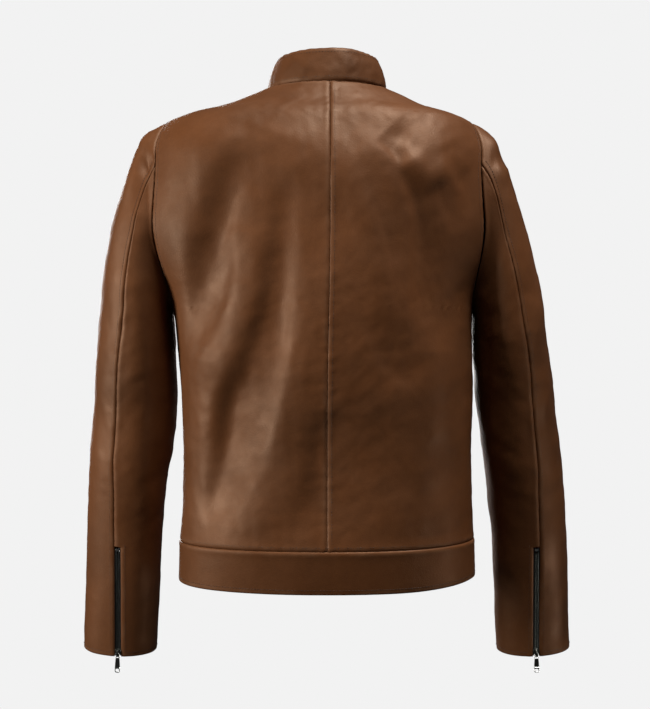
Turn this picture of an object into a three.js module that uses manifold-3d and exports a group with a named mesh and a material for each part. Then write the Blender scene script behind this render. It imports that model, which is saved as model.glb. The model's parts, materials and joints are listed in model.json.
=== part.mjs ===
// A leather riding jacket: a zipped body with a stand collar and a hem band, two-piece sleeves with zipped
// cuffs, two hand pockets, a lining and a hanger loop. Millimetres, +Z up, the front faces -Y, the wearer's
// left is +X. The origin is on the hanger loop's bearing edge, at the back of the neck.
//
// The body is one smooth surface, torsoPoint(angle, row): angle 0 is the left side, 90 the centre back and
// -90 the centre front, and row is the height above the hem up to the shoulder point, and from there the
// distance along the shoulder. The sleeve is another, sleevePoint(angle, row): angle 0 is its outer side and
// 90 its back, and row 0 is the armhole. Each panel is a stretch of one of them, cut thin and curved.
import * as THREE from "three";
import Module from "manifold-3d";

const wasm = await Module();
wasm.setup();

// ---- Driving dimensions -------------------------------------------------------------------------------

// Body, measured to the leather's outer face.
const bodyHeight = 624; // hem edge to the side of the neck
const shoulderDrop = 43; // side of the neck down to the shoulder point
const armholeHeight = 236; // shoulder point down to the underarm
const hemBandHeight = 52;
const hemBackDrop = 2; // how far the hem hangs lower at the centre back
const waistHeight = 150;
const hemHalfWidth = 188;
const waistHalfWidth = 182;
const chestHalfWidth = 187;
const underarmHalfWidth = 190;
const bladeHalfWidth = 228;
const shoulderHalfWidth = 192;
const neckHalfWidth = 75.5;
const hemBackDepth = 113;
const waistBackDepth = 112;
const chestBackDepth = 122;
const bladeBackDepth = 121;
const shoulderBackDepth = 92;
const neckBackDepth = 62;
const frontHemDepth = 120; // the zip's line stands this far in front of the side seams at the hem
const frontLean = 0.042; // and leans back by this much for each millimetre of height
const neckFrontDrop = 73; // the neckline is this much lower at the centre front
const neckBackDrop = 0; // and this much lower at the centre back
const neckForward = 6; // the side of the neck lies this far in front of the side seam

// Armhole and sleeve.
const armholeHalfAngle = 17; // degrees of the body's ring to each side of the side seam
const sleeveCap = { fall: 11, under: 72, lift: 60, reach: 84 }; // its slope at the top and the underarm, and fullness
const sleeveHeadLength = 200; // rows from the armhole down to the upper arm's ring
const upperArm = { x: 238.8, y: -4, z: 305, halfWidth: 48.2, halfDepth: 63 };
const elbow = { x: 244.4, y: -10, z: 220, halfWidth: 51.8, halfDepth: 52 };
const midForearm = { x: 256.1, y: -20, z: 128, halfWidth: 49.9, halfDepth: 47 };
const cuff = { x: 271.1, y: -44, z: -98, halfWidth: 47.6, halfDepth: 37.5 };
const sleeveRise = { x: -9 / 162, y: 16 / 162, halfWidth: 1 / 162, halfDepth: 6 / 162 }; // per millimetre over the cuff
const straightAboveZip = 16; // the sleeve runs straight from the cuff to this far above its zip
const frontSeamAngle = -75; // of the sleeve
const sleeveBackLine = { armhole: 66, cap: 85, head: 84, elbow: 77, forearm: 79, zipTop: 86.5, cuff: 93 }; // degrees

// Collar.
const collarHeight = 42;
const collarSideLean = 14.5; // how far the top edge leans in over the base
const collarBackLean = 7;
const collarFrontLean = 1;
const collarEndGap = 2; // from the centre line to each end of the collar
const collarTabHalfHeight = 11;
const collarTabSewnX = 40;
const collarTabFreeX = 34;
const snapX = 23;
const snapRadius = 6.5;

// Materials' thicknesses and the clearances between layers.
const leather = 1.2;
const liningThickness = 0.8;
const tapeThickness = 0.6;
const bandLeather = 2.6; // the hem band is folded double
const bandProud = 1; // and stands this far proud of the panels
const layerGap = 0.4;
const seamGap = 0.3;
const armholeGap = 1.4;
const liningArmholeGap = 5;

// Zips. Heights are over the leather's outer face, and widths are from the chain's centre line.
const slitHalfWidth = 4.6;
const tapeHalfWidth = 7.4;
const frontTapeHalfWidth = 13;
const chainSpacing = 0.6; // half of the space between the two rows, which the slider's post passes along
const chainHalfWidth = 2.6;
const chainTop = -1.5;
const chainThickness = 2.6;
const cuffZipLength = 146;
const pocketZipLength = 150;
const sliderLength = 11;
const sliderPlate = 1.3;
const sliderPostHalfWidth = 0.3;
const sliderSideClearance = 0.7; // to the leather beside it
const runClearance = 0.3;
const flangeWidth = 0.6;
const bailHalfWidth = 1.3;
const bailThickness = 0.9;
const pullWire = 1;
const pullLength = 25;
const pullHalfWidth = 3.4;
const stopLength = 3;
const boxLength = 10;

// Pockets, from the lower end of the zip to the upper, on the front panel, set in from the hem's side.
const pocketLowFromSide = 70;
const pocketHighFromSide = 104;
const pocketLow = { x: hemHalfWidth - pocketLowFromSide, z: 88 };
const pocketHigh = { x: hemHalfWidth - pocketHighFromSide, z: 222 };
const pocketWeltWidth = 9;
const pocketZipRaise = 2; // so that its pull clears the welt
const pocketBagReach = 70; // how far the bag reaches towards the centre front

// Hanger loop.
const loopHalfWidth = 34;
const loopStandOff = 15;
const loopHeight = 7;
const loopThickness = 1.6;
const loopDrop = 8; // its lower edge below the neck seam

// ---- Small helpers ------------------------------------------------------------------------------------

const rad = THREE.MathUtils.degToRad;
const vec = (x, y, z) => new THREE.Vector3(x, y, z);
const mix = (a, b, t) => a + (b - a) * t;
const square = (x) => x * x;

// A smooth curve through points (knots[i], values[i]) that doesn't overshoot them.
function smooth(knots, values) {
  const n = knots.length;
  const secant = [];
  for (let i = 0; i < n - 1; i++)
    secant.push((values[i + 1] - values[i]) / (knots[i + 1] - knots[i]));
  const slope = knots.map((_, i) => {
    if (i === 0) return secant[0];
    if (i === n - 1) return secant[n - 2];
    const [a, b] = [secant[i - 1], secant[i]];
    return a * b <= 0 ? 0 : (2 * a * b) / (a + b);
  });
  return (x) => {
    let i = 0;
    while (i < n - 2 && x > knots[i + 1]) i++;
    const h = knots[i + 1] - knots[i];
    const t = Math.min(1, Math.max(0, (x - knots[i]) / h));
    const [a, b] = [values[i], values[i + 1]];
    return (
      a * (2 * t ** 3 - 3 * t * t + 1) + b * (3 * t * t - 2 * t ** 3) +
      h * (slope[i] * (t ** 3 - 2 * t * t + t) + slope[i + 1] * (t ** 3 - t * t))
    );
  };
}

// count + 1 even steps from a to b.
const steps = (a, b, count) => Array.from({ length: count + 1 }, (_, i) => mix(a, b, i / count));

// ---- The body's surface -------------------------------------------------------------------------------

const shoulderZ = bodyHeight - shoulderDrop;
const underarmZ = shoulderZ - armholeHeight;
const shoulderRun = Math.hypot(shoulderHalfWidth - neckHalfWidth, shoulderDrop);
const slopeRow = shoulderZ + shoulderRun / 2;
const neckRow = shoulderZ + shoulderRun;
const chestZ = underarmZ - 45;
const bladeZ = underarmZ + 0.46 * armholeHeight;
const upperZ = underarmZ + 0.81 * armholeHeight;

const bodyRows = [0, hemBandHeight, waistHeight, chestZ, underarmZ, bladeZ, upperZ, shoulderZ, slopeRow, neckRow];
const sideZ = smooth(bodyRows, [...bodyRows.slice(0, 8), bodyHeight - 0.57 * shoulderDrop, bodyHeight]);
const halfWidth = smooth(bodyRows, [
  hemHalfWidth, hemHalfWidth - 1.5, waistHalfWidth, chestHalfWidth, underarmHalfWidth, bladeHalfWidth,
  mix(bladeHalfWidth, shoulderHalfWidth, 0.25), shoulderHalfWidth, (shoulderHalfWidth + neckHalfWidth) / 2,
  neckHalfWidth,
]);
const backDepth = smooth(bodyRows, [
  hemBackDepth, hemBackDepth, waistBackDepth, chestBackDepth, chestBackDepth + 2, bladeBackDepth,
  mix(bladeBackDepth, shoulderBackDepth, 0.5), shoulderBackDepth, mix(shoulderBackDepth, neckBackDepth, 0.5),
  neckBackDepth,
]);
const squareness = smooth(bodyRows, [2.35, 2.35, 2.3, 2.3, 2.3, 2.3, 2.3, 2.25, 2.12, 2]);
const necklineShare = smooth(bodyRows, [0, 0, 0, 0, 0.02, 0.12, 0.35, 0.55, 0.8, 1]);
const centreY = smooth(bodyRows, [0, 0, 0, 0, 0, 0, 0, 0, -neckForward / 2, -neckForward]);
const hemShare = (row) => square(Math.max(0, 1 - row / waistHeight));
const frontLineY = (z) => -frontHemDepth + frontLean * z;

// The leather's outer face. angle is in degrees.
function bodyFace(angle, row) {
  const [c, s] = [Math.cos(rad(angle)), Math.sin(rad(angle))];
  const drop = (s < 0 ? neckFrontDrop : neckBackDrop) * s * s * necklineShare(row);
  const hem = s > 0 ? hemBackDrop * s * s * hemShare(row) : 0;
  const frontZ = sideZ(row) - neckFrontDrop * necklineShare(row);
  const [a, y0, n] = [halfWidth(row), centreY(row), squareness(row)];
  const b = s < 0 ? y0 - frontLineY(frontZ) : backDepth(row) - y0;
  const r = (Math.abs(c / a) ** n + Math.abs(s / b) ** n) ** (-1 / n);
  return vec(r * c, y0 + r * s, sideZ(row) - drop - hem);
}

// The unit normal of a face(u, v), out of the side that outward(point) says.
function normalOf(face, u, v, du, dv) {
  const along = face(u + du, v).sub(face(u - du, v));
  const up = face(u, v + dv).sub(face(u, v - dv));
  return along.cross(up).normalize();
}

// The same surface, inset towards the wearer.
function torsoPoint(angle, row, inset = 0) {
  const p = bodyFace(angle, row);
  const n = normalOf(bodyFace, angle, Math.min(Math.max(row, 0.5), neckRow - 0.5), 0.2, 0.5);
  return p.addScaledVector(n, -inset);
}

// The angle at which the front has this distance from the centre line, on the left.
const frontAngle = (x, row) => {
  let [low, high] = [-90, 0];
  for (let i = 0; i < 40; i++) {
    const middle = (low + high) / 2;
    if (bodyFace(middle, row).x < x) low = middle;
    else high = middle;
  }
  return (low + high) / 2;
};

// ---- The sleeve's surface -----------------------------------------------------------------------------

const straightRun = cuffZipLength + straightAboveZip;
const ringOverCuff = (rise) => ({
  x: cuff.x + sleeveRise.x * rise,
  y: cuff.y + sleeveRise.y * rise,
  z: cuff.z + rise,
  halfWidth: cuff.halfWidth + sleeveRise.halfWidth * rise,
  halfDepth: cuff.halfDepth + sleeveRise.halfDepth * rise,
});
const arm = [upperArm, elbow, midForearm, ringOverCuff(straightRun), ringOverCuff(straightRun / 2), cuff];
const armRows = arm.reduce(
  (rows, ring, i) =>
    i === 0
      ? [sleeveHeadLength]
      : [...rows, rows[i - 1] + Math.hypot(ring.x - arm[i - 1].x, ring.y - arm[i - 1].y, ring.z - arm[i - 1].z)],
  [],
);
const cuffRow = armRows[armRows.length - 1];
const zipTopRow = cuffRow - cuffZipLength;
const armCurve = (key) => smooth(armRows, arm.map((ring) => ring[key]));
const [armX, armY, armZ] = [armCurve("x"), armCurve("y"), armCurve("z")];
const [armHalfWidth, armHalfDepth] = [armCurve("halfWidth"), armCurve("halfDepth")];
const armCentre = (row) => vec(armX(row), armY(row), armZ(row));

// The middle of the cuff's zip, and above it the line that the back seam follows.
const backAngle = smooth(
  [
    0, 0.4 * sleeveHeadLength, 0.75 * sleeveHeadLength, armRows[1] - 40, zipTopRow - 0.8 * cuffZipLength,
    zipTopRow - 0.4 * cuffZipLength, zipTopRow, cuffRow,
  ],
  [
    sleeveBackLine.armhole, sleeveBackLine.cap, sleeveBackLine.head, sleeveBackLine.elbow, sleeveBackLine.forearm,
    mix(sleeveBackLine.zipTop, sleeveBackLine.cuff, -0.4), sleeveBackLine.zipTop, sleeveBackLine.cuff,
  ],
);

function armFace(angle, row) {
  const inside = Math.min(Math.max(row, sleeveHeadLength), cuffRow);
  const down = armCentre(Math.min(inside + 4, cuffRow)).sub(armCentre(Math.max(inside - 4, sleeveHeadLength)));
  const axis = down.normalize();
  const back = vec(0, 1, 0).addScaledVector(axis, -axis.y).normalize();
  const out = back.clone().cross(axis).negate();
  return armCentre(inside)
    .addScaledVector(axis, row - inside)
    .addScaledVector(out, armHalfWidth(inside) * Math.cos(rad(angle)))
    .addScaledVector(back, armHalfDepth(inside) * Math.sin(rad(angle)));
}

// Where the armhole's edge lies on the body, for an angle of the sleeve.
const armholeRow = (angle) => (underarmZ + shoulderZ) / 2 + (armholeHeight / 2) * Math.cos(rad(angle));
const armholePoint = (angle) => bodyFace(armholeHalfAngle * Math.sin(rad(angle)), armholeRow(angle));

// Rows 0 to sleeveHeadLength run from the armhole to the upper arm's ring in one curve that leaves the
// shoulder sideways and bends down into the arm.
function sleeveFace(angle, row) {
  if (row >= sleeveHeadLength) return armFace(angle, row);
  const top = (1 + Math.cos(rad(angle))) / 2; // 1 at the shoulder point, 0 at the underarm
  const fall = rad(mix(sleeveCap.under, sleeveCap.fall, top));
  const leave = vec(Math.cos(fall), 0.12 * Math.sin(rad(angle)), -Math.sin(fall));
  const start = armholePoint(angle);
  const end = armFace(angle, sleeveHeadLength);
  const into = armFace(angle, sleeveHeadLength + 2).sub(end).normalize();
  const p1 = start.clone().addScaledVector(leave, mix(12, sleeveCap.lift, top));
  const p2 = end.clone().addScaledVector(into, -mix(15, sleeveCap.reach, top ** 1.5));
  const t = row / sleeveHeadLength;
  return start
    .multiplyScalar((1 - t) ** 3)
    .addScaledVector(p1, 3 * t * (1 - t) ** 2)
    .addScaledVector(p2, 3 * t * t * (1 - t))
    .addScaledVector(end, t ** 3);
}

function sleevePoint(angle, row, inset = 0) {
  const n = normalOf(sleeveFace, angle, Math.max(row, 1), 0.5, 0.5).negate();
  return sleeveFace(angle, row).addScaledVector(n, -inset);
}

// ---- Turning grids of points into closed solids -------------------------------------------------------

// A thin solid between two grids of points, outer[row][column] and inner[row][column].
function sheet(outer, inner, ring = false) {
  const rows = outer.length;
  const columns = outer[0].length;
  const positions = [...outer.flat(), ...inner.flat()].flatMap((p) => [p.x, p.y, p.z]);
  const index = [];
  const at = (layer, r, c) => layer * rows * columns + r * columns + (ring ? c % columns : c);
  const quad = (a, b, c, d) => index.push(a, b, c, a, c, d);
  const lastColumn = ring ? columns : columns - 1;
  for (let r = 0; r < rows - 1; r++)
    for (let c = 0; c < lastColumn; c++) {
      quad(at(0, r, c), at(0, r, c + 1), at(0, r + 1, c + 1), at(0, r + 1, c));
      quad(at(1, r, c), at(1, r + 1, c), at(1, r + 1, c + 1), at(1, r, c + 1));
    }
  for (let c = 0; c < lastColumn; c++) {
    quad(at(0, 0, c + 1), at(0, 0, c), at(1, 0, c), at(1, 0, c + 1));
    quad(at(0, rows - 1, c), at(0, rows - 1, c + 1), at(1, rows - 1, c + 1), at(1, rows - 1, c));
  }
  if (!ring)
    for (let r = 0; r < rows - 1; r++) {
      quad(at(0, r, 0), at(0, r + 1, 0), at(1, r + 1, 0), at(1, r, 0));
      quad(at(0, r + 1, columns - 1), at(0, r, columns - 1), at(1, r, columns - 1), at(1, r + 1, columns - 1));
    }
  return facingOut(positions, index);
}

// The geometry, with its faces turned to point out.
function facingOut(positions, index) {
  const p = (i) => vec(positions[3 * i], positions[3 * i + 1], positions[3 * i + 2]);
  let volume = 0;
  for (let i = 0; i < index.length; i += 3)
    volume += p(index[i]).dot(p(index[i + 1]).cross(p(index[i + 2])));
  if (volume < 0)
    for (let i = 0; i < index.length; i += 3) [index[i], index[i + 1]] = [index[i + 1], index[i]];
  return new THREE.BufferGeometry()
    .setAttribute("position", new THREE.Float32BufferAttribute(positions, 3))
    .setIndex(index);
}

// A patch of a surface: rows is a list, and edges(row) gives the first and last angle.
function patch(point, rows, edges, columns, insets, ring = false) {
  const grid = (inset) =>
    rows.map((row) => {
      const [from, to] = edges(row);
      const angles = steps(from, to, columns);
      return (ring ? angles.slice(0, -1) : angles).map((angle) => point(angle, row, inset));
    });
  return sheet(grid(insets[0]), grid(insets[1]), ring);
}

function box(x, y, z) {
  const g = new THREE.BoxGeometry(x[1] - x[0], y[1] - y[0], z[1] - z[0]);
  return g.translate((x[0] + x[1]) / 2, (y[0] + y[1]) / 2, (z[0] + z[1]) / 2);
}

// A closed outline, [[a, b], ...], with any holes, extruded by depth.
function slab(outline, depth, holes = []) {
  const path = (points, kind) => {
    const made = new kind();
    points.forEach(([a, b], i) => (i ? made.lineTo(a, b) : made.moveTo(a, b)));
    return made;
  };
  const shape = path(outline, THREE.Shape);
  shape.holes = holes.map((points) => path(points, THREE.Path));
  return new THREE.ExtrudeGeometry(shape, { depth, bevelEnabled: false, curveSegments: 8 });
}

function solidOf(geometry) {
  const g = geometry.index ? geometry.toNonIndexed() : geometry;
  const source = g.getAttribute("position").array;
  const found = new Map();
  const vertices = [];
  const triangles = [];
  for (let i = 0; i < source.length; i += 3) {
    const key = [source[i], source[i + 1], source[i + 2]].map((v) => Math.round(v * 1e4)).join();
    if (!found.has(key)) {
      found.set(key, found.size);
      vertices.push(source[i], source[i + 1], source[i + 2]);
    }
    triangles.push(found.get(key));
  }
  return new wasm.Manifold(
    new wasm.Mesh({
      numProp: 3,
      vertProperties: new Float32Array(vertices),
      triVerts: new Uint32Array(triangles),
    }),
  );
}

function geometryOf(solid) {
  const m = solid.getMesh();
  return new THREE.BufferGeometry()
    .setAttribute("position", new THREE.BufferAttribute(new Float32Array(m.vertProperties), 3))
    .setIndex(new THREE.BufferAttribute(new Uint32Array(m.triVerts), 1));
}

const join = (...pieces) => geometryOf(pieces.map(solidOf).reduce((a, b) => a.add(b)));
const cut = (piece, ...tools) => geometryOf(tools.map(solidOf).reduce((a, b) => a.subtract(b), solidOf(piece)));

// ---- Materials ----------------------------------------------------------------------------------------

const material = (color, roughness, metalness = 0) =>
  new THREE.MeshStandardMaterial({ color, roughness, metalness });
const brownLeather = material(0x5b3822, 0.45);
const darkLining = material(0x1d1512, 0.6);
const blackTape = material(0x151414, 0.85);
const gunmetal = material(0x33342f, 0.35, 0.9);
const nickel = material(0xb9b9b4, 0.25, 1);
const blackTab = material(0x0d0d0d, 0.5);

// ---- Panels -------------------------------------------------------------------------------------------

const jacket = new THREE.Group();
const frame = new THREE.Group();
jacket.add(frame);

function add(parent, name, geometry, look) {
  const mesh = new THREE.Mesh(geometry, look);
  mesh.name = name;
  parent.add(mesh);
  return mesh;
}

// The rows of a body panel: even up to the underarm, closer round the armhole's ends, even to the neck.
function panelRows(low, high, belowArmhole, alongArmhole, aboveArmhole) {
  const armhole = steps(180, 0, alongArmhole).map(armholeRow);
  return [
    ...steps(low, underarmZ, belowArmhole).slice(0, -1),
    ...armhole,
    ...steps(shoulderZ, high, aboveArmhole).slice(1),
  ];
}

// The angle from the side seam to the armhole's edge at a row.
function armholeEdge(row) {
  const u = (row - (underarmZ + shoulderZ) / 2) / (armholeHeight / 2);
  return Math.abs(u) < 1 ? armholeHalfAngle * Math.sqrt(1 - u * u) : 0;
}

const gapAngle = (row, gap) => (gap / halfWidth(row)) * (180 / Math.PI);
const backMiddle = (row) => 90 - ((seamGap / 2 / backDepth(row)) * 180) / Math.PI;
const leatherRows = panelRows(hemBandHeight + seamGap / 2, neckRow - seamGap / 2, 9, 10, 3);
const sideEdge = (row) => Math.max(armholeEdge(row), gapAngle(row, seamGap / 2));

// Layers, from the outside in: leather, zip and pocket bag, lining.
const sliderHalfWidth = slitHalfWidth - sliderSideClearance;
const sliderTop = chainTop + runClearance + sliderPlate;
const sliderBottom = chainTop - chainThickness - runClearance - sliderPlate;
const gussetInset = -sliderBottom + layerGap;
const liningInset = gussetInset + leather + 2 * layerGap;
const liningInsets = [liningInset, liningInset + liningThickness];

const backPanel = patch(
  torsoPoint, leatherRows, (row) => [sideEdge(row), backMiddle(row)], 9, [0, leather],
);
let frontPanel = patch(
  torsoPoint, leatherRows, (row) => [frontAngle(slitHalfWidth, row), -sideEdge(row)], 9, [0, leather],
);

const bandRows = steps(0, hemBandHeight - seamGap / 2, 2);
const bandInsets = [-bandProud, bandLeather - bandProud];
const hemBandBack = patch(
  torsoPoint, bandRows, (row) => [gapAngle(row, seamGap / 2), 180 - gapAngle(row, seamGap / 2)], 18, bandInsets,
);
const hemBandFront = patch(
  torsoPoint, bandRows, (row) => [frontAngle(slitHalfWidth, row), -gapAngle(row, seamGap / 2)], 9, bandInsets,
);

const liningRows = panelRows(hemBandHeight - 10, neckRow - 5, 3, 6, 2);
const facingX = 62;
const liningSide = (row) => Math.max(armholeEdge(row) + 0.5, gapAngle(row, 0.5));
const liningBack = patch(
  torsoPoint, liningRows, (row) => [liningSide(row), 180 - liningSide(row)], 16, liningInsets,
);
const liningFront = patch(
  torsoPoint, liningRows, (row) => [frontAngle(Math.min(facingX, 0.62 * halfWidth(row)) + 0.4, row), -liningSide(row)],
  6, liningInsets,
);
const facingRows = panelRows(hemBandHeight - 40, neckRow - 5, 3, 3, 2);
const facing = patch(
  torsoPoint, facingRows, (row) => [frontAngle(1, row), frontAngle(Math.min(facingX, 0.62 * halfWidth(row)), row)],
  3, [liningInset, liningInset + leather],
);

// ---- Collar -------------------------------------------------------------------------------------------

// height is 0 at the neck seam and 1 at the top edge.
function collarFace(angle, height) {
  const [c, s] = [Math.cos(rad(angle)), Math.sin(rad(angle))];
  const sideways = collarSideLean * c * c + (s > 0 ? collarBackLean : collarFrontLean) * s * s;
  const lean = sideways * Math.max(0, height) ** 2.2;
  const tall = collarHeight * height;
  const base = bodyFace(angle, neckRow);
  return base.add(vec(-c * lean, -s * lean + (s < 0 ? frontLean * tall * s * s : 0), tall + seamGap / 2));
}

function collarPoint(angle, height, inset = 0) {
  return collarFace(angle, height).addScaledVector(normalOf(collarFace, angle, height, 0.2, 0.01), -inset);
}

const collarEnd = (x) => (Math.asin(x / -bodyFace(-90, neckRow).y) * 180) / Math.PI;
const collarEdges = () => [-90 + collarEnd(collarEndGap), 270 - collarEnd(collarEndGap)];
const collarOuter = patch(collarPoint, steps(0, 1, 4), collarEdges, 32, [0, leather]);
const collarInner = patch(
  collarPoint, steps(0, 1, 4), collarEdges, 32, [leather + layerGap, 2 * leather + layerGap],
);

// The throat tab lies on the collar's front, sewn at its right end.
const tabInset = 1.5;
const tabThickness = 2 * leather;
const tabMiddle = 0.5;
const tabHalf = collarTabHalfHeight / collarHeight;
const collarTab = patch(
  collarPoint, steps(tabMiddle - tabHalf, tabMiddle + tabHalf, 2),
  () => [-90 - collarEnd(collarTabSewnX), -90 + collarEnd(collarTabFreeX)], 8,
  [-tabInset - tabThickness, -tabInset],
);

// A round piece on the collar's face, between two heights over it.
function disc(x, radius, low, high) {
  const angle = -90 + collarEnd(x);
  const normal = normalOf(collarFace, angle, tabMiddle, 0.2, 0.01);
  const g = new THREE.CylinderGeometry(radius, radius, high - low, 20).translate(0, (high + low) / 2, 0);
  const turn = new THREE.Quaternion().setFromUnitVectors(vec(0, 1, 0), normal);
  const at = collarFace(angle, tabMiddle);
  return g.applyQuaternion(turn).translate(at.x, at.y, at.z);
}

// ---- Hanger loop --------------------------------------------------------------------------------------

// A strip that stands off the back of the neck in a flat arch, and whose lower edge bears on a hook.
const loopZ = bodyFace(90, neckRow).z - loopDrop;
const loopWallY = neckBackDepth - 2 * leather - layerGap - 3;
function hangerLoopGeometry() {
  const arch = (x) => loopWallY - loopStandOff * Math.cos((x / loopHalfWidth) * (Math.PI / 2)) ** 0.7 - square(x) / 150;
  const xs = steps(-loopHalfWidth, loopHalfWidth, 12);
  const outline = [
    ...xs.map((x) => [x, arch(x)]),
    ...xs.slice().reverse().map((x) => [x, arch(x) - loopThickness]),
  ];
  return slab(outline, loopHeight).translate(0, 0, loopZ);
}
const loopBearingY = loopWallY - loopStandOff - loopThickness / 2;

// ---- Zips ---------------------------------------------------------------------------------------------

// A group whose X runs across a zip, Y up it and Z out of the leather.
function zipGroup(bottom, top, outward) {
  const along = top.clone().sub(bottom).normalize();
  const across = along.clone().cross(outward).normalize();
  const group = new THREE.Group();
  group.quaternion.setFromRotationMatrix(new THREE.Matrix4().makeBasis(across, along, across.clone().cross(along)));
  group.position.copy(bottom);
  return group;
}

const tapeMiddle = chainTop - chainThickness / 2;
const tapeZ = [tapeMiddle - tapeThickness / 2, tapeMiddle + tapeThickness / 2];
const tape = (reach, from, to) => box([chainHalfWidth + runClearance, reach], [from, to], tapeZ);
const teeth = (from, to) => box([chainSpacing, chainHalfWidth], [from, to], [chainTop - chainThickness, chainTop]);

// The slider: two plates joined by a post, with lips that guide the tape, and a bail for the pull. Its own
// origin is on the pull's axis.
const bailBase = sliderTop;
const pullAxis = bailBase + runClearance + pullWire / 2;
const bailUnder = pullAxis + pullWire / 2 + runClearance;
function sliderGeometry() {
  const [w, lip] = [sliderHalfWidth, sliderHalfWidth - flangeWidth];
  const [top, bottom] = [sliderTop, sliderBottom];
  const [underTop, overBottom] = [top - sliderPlate, bottom + sliderPlate];
  const side = [
    [w, top], [w, tapeZ[1] + runClearance], [lip, tapeZ[1] + runClearance], [lip, underTop],
    [sliderPostHalfWidth, underTop], [sliderPostHalfWidth, overBottom], [lip, overBottom],
    [lip, tapeZ[0] - runClearance], [w, tapeZ[0] - runClearance], [w, bottom],
  ];
  const outline = [...side, ...side.slice().reverse().map(([x, z]) => [-x, z])];
  const body = slab(outline, sliderLength).rotateX(Math.PI / 2).translate(0, sliderLength / 2, 0);
  const [reach, foot] = [4.2, 1.1];
  const bailOutline = [
    [-reach, -0.5], [reach, -0.5], [reach, bailUnder - bailBase + bailThickness - 0.5],
    [reach - 0.7, bailUnder - bailBase + bailThickness], [-reach + 0.7, bailUnder - bailBase + bailThickness],
    [-reach, bailUnder - bailBase + bailThickness - 0.5],
  ];
  const window = [
    [-reach + foot, 0], [reach - foot, 0], [reach - foot, bailUnder - bailBase], [-reach + foot, bailUnder - bailBase],
  ];
  const solid = slab(bailOutline, 2 * bailHalfWidth).translate(0, 0, -bailHalfWidth);
  const hole = slab(window, 4 * bailHalfWidth).translate(0, 0, -2 * bailHalfWidth);
  const bail = cut(solid, hole).rotateX(Math.PI / 2).rotateZ(Math.PI / 2).translate(0, 0, bailBase);
  return join(body, bail).translate(0, 0, -pullAxis);
}

// The pull: a wire eye round the bail, a plate with a window for its tab, and an end ring. It hangs down -Y
// from its own origin, which is on its axis.
const eyeHalfWidth = bailHalfWidth + 0.7;
const eyeEnd = -5.2;
const tabFrom = -7.4;
const tabTo = -17.2;
const ringFrom = -19;
function pullFrameGeometry() {
  const w = pullHalfWidth;
  const outline = [
    [-w + 0.8, pullWire / 2], [w - 0.8, pullWire / 2], [w - 0.2, eyeEnd], [w, tabTo], [w, -pullLength + 2.2],
    [w - 2, -pullLength], [-w + 2, -pullLength], [-w, -pullLength + 2.2], [-w, tabTo], [-w + 0.2, eyeEnd],
  ];
  const hole = (half, from, to) => [[-half, from], [half, from], [half, to], [-half, to]];
  return slab(outline, pullWire, [
    hole(Math.min(eyeHalfWidth, w - 1.3), eyeEnd + 0.4, -pullWire / 2),
    hole(w - 1, tabTo - runClearance, tabFrom + runClearance),
    hole(w - 1.2, -pullLength + 1.6, ringFrom - 0.4),
  ]).translate(0, 0, -pullWire / 2);
}
const pullTab = box([-pullHalfWidth + 1 + 0.3, pullHalfWidth - 1 - 0.3], [tabTo, tabFrom], [-1.1, 1.1]);

// A slider and its pull, hanging at an angle of swing degrees off the chain. Their joints are the group's
// Y, for the slider, and the pull's own X.
function addRunner(group, at, names, swing = 0) {
  const slider = add(group, names.slider, sliderGeometry(), gunmetal);
  slider.position.set(0, at, pullAxis);
  const pull = new THREE.Group();
  pull.position.set(0, at, pullAxis);
  pull.rotation.x = rad(-swing);
  group.add(pull);
  add(pull, names.frame, pullFrameGeometry(), nickel);
  add(pull, names.tab, pullTab, blackTab);
}

// ---- Front zip ----------------------------------------------------------------------------------------

const frontBottom = bodyFace(-90, 0);
const frontTop = bodyFace(-90, neckRow);
const frontZipLength = frontTop.distanceTo(frontBottom);
const frontZip = zipGroup(frontBottom, frontTop, vec(0, -1, 0));
const chainFrom = boxLength + 6;
frame.add(frontZip);
for (const [side, sign] of [["left", 1], ["right", -1]]) {
  const half = new THREE.Group();
  half.scale.x = sign;
  frontZip.add(half);
  add(half, `front_zip_tape_${side}`, tape(frontTapeHalfWidth, 5, frontZipLength - 3), blackTape);
  add(half, `front_zip_teeth_${side}`, teeth(chainFrom, frontZipLength - 4), gunmetal);
}
add(
  frontZip, "front_zip_box",
  box([-chainHalfWidth, chainHalfWidth], [6, chainFrom - runClearance], [chainTop - chainThickness, chainTop + 0.8]),
  nickel,
);
addRunner(frontZip, frontZipLength - 4 - sliderLength / 2, {
  slider: "front_slider", frame: "front_pull_frame", tab: "front_pull_tab",
});

// ---- Pockets ------------------------------------------------------------------------------------------

const onFront = ({ x, z }, inset = 0) => torsoPoint(frontAngle(x, z), z, inset);
const pocketLowPoint = onFront(pocketLow);
const pocketHighPoint = onFront(pocketHigh);
const pocketMiddle = { x: (pocketLow.x + pocketHigh.x) / 2, z: (pocketLow.z + pocketHigh.z) / 2 };
const pocketNormal = onFront(pocketMiddle).sub(onFront(pocketMiddle, 1));
const pocketUp = pocketHighPoint.clone().sub(pocketLowPoint).normalize();
const pocketStart = onFront(pocketMiddle)
  .addScaledVector(pocketUp, -pocketZipLength / 2)
  .addScaledVector(pocketNormal, pocketZipRaise);
const pocketEnd = pocketStart.clone().addScaledVector(pocketUp, pocketZipLength);
const pocketZip = () => zipGroup(pocketStart, pocketEnd, pocketNormal);

// The slot in the panel is as wide as the zip's slit and reaches its ends.
function pocketSlot() {
  const tool = box([-slitHalfWidth, slitHalfWidth], [-1, pocketZipLength + 1], [-12, 12]);
  const group = pocketZip();
  group.updateMatrix();
  return tool.applyMatrix4(group.matrix);
}
frontPanel = cut(frontPanel, pocketSlot());

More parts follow.
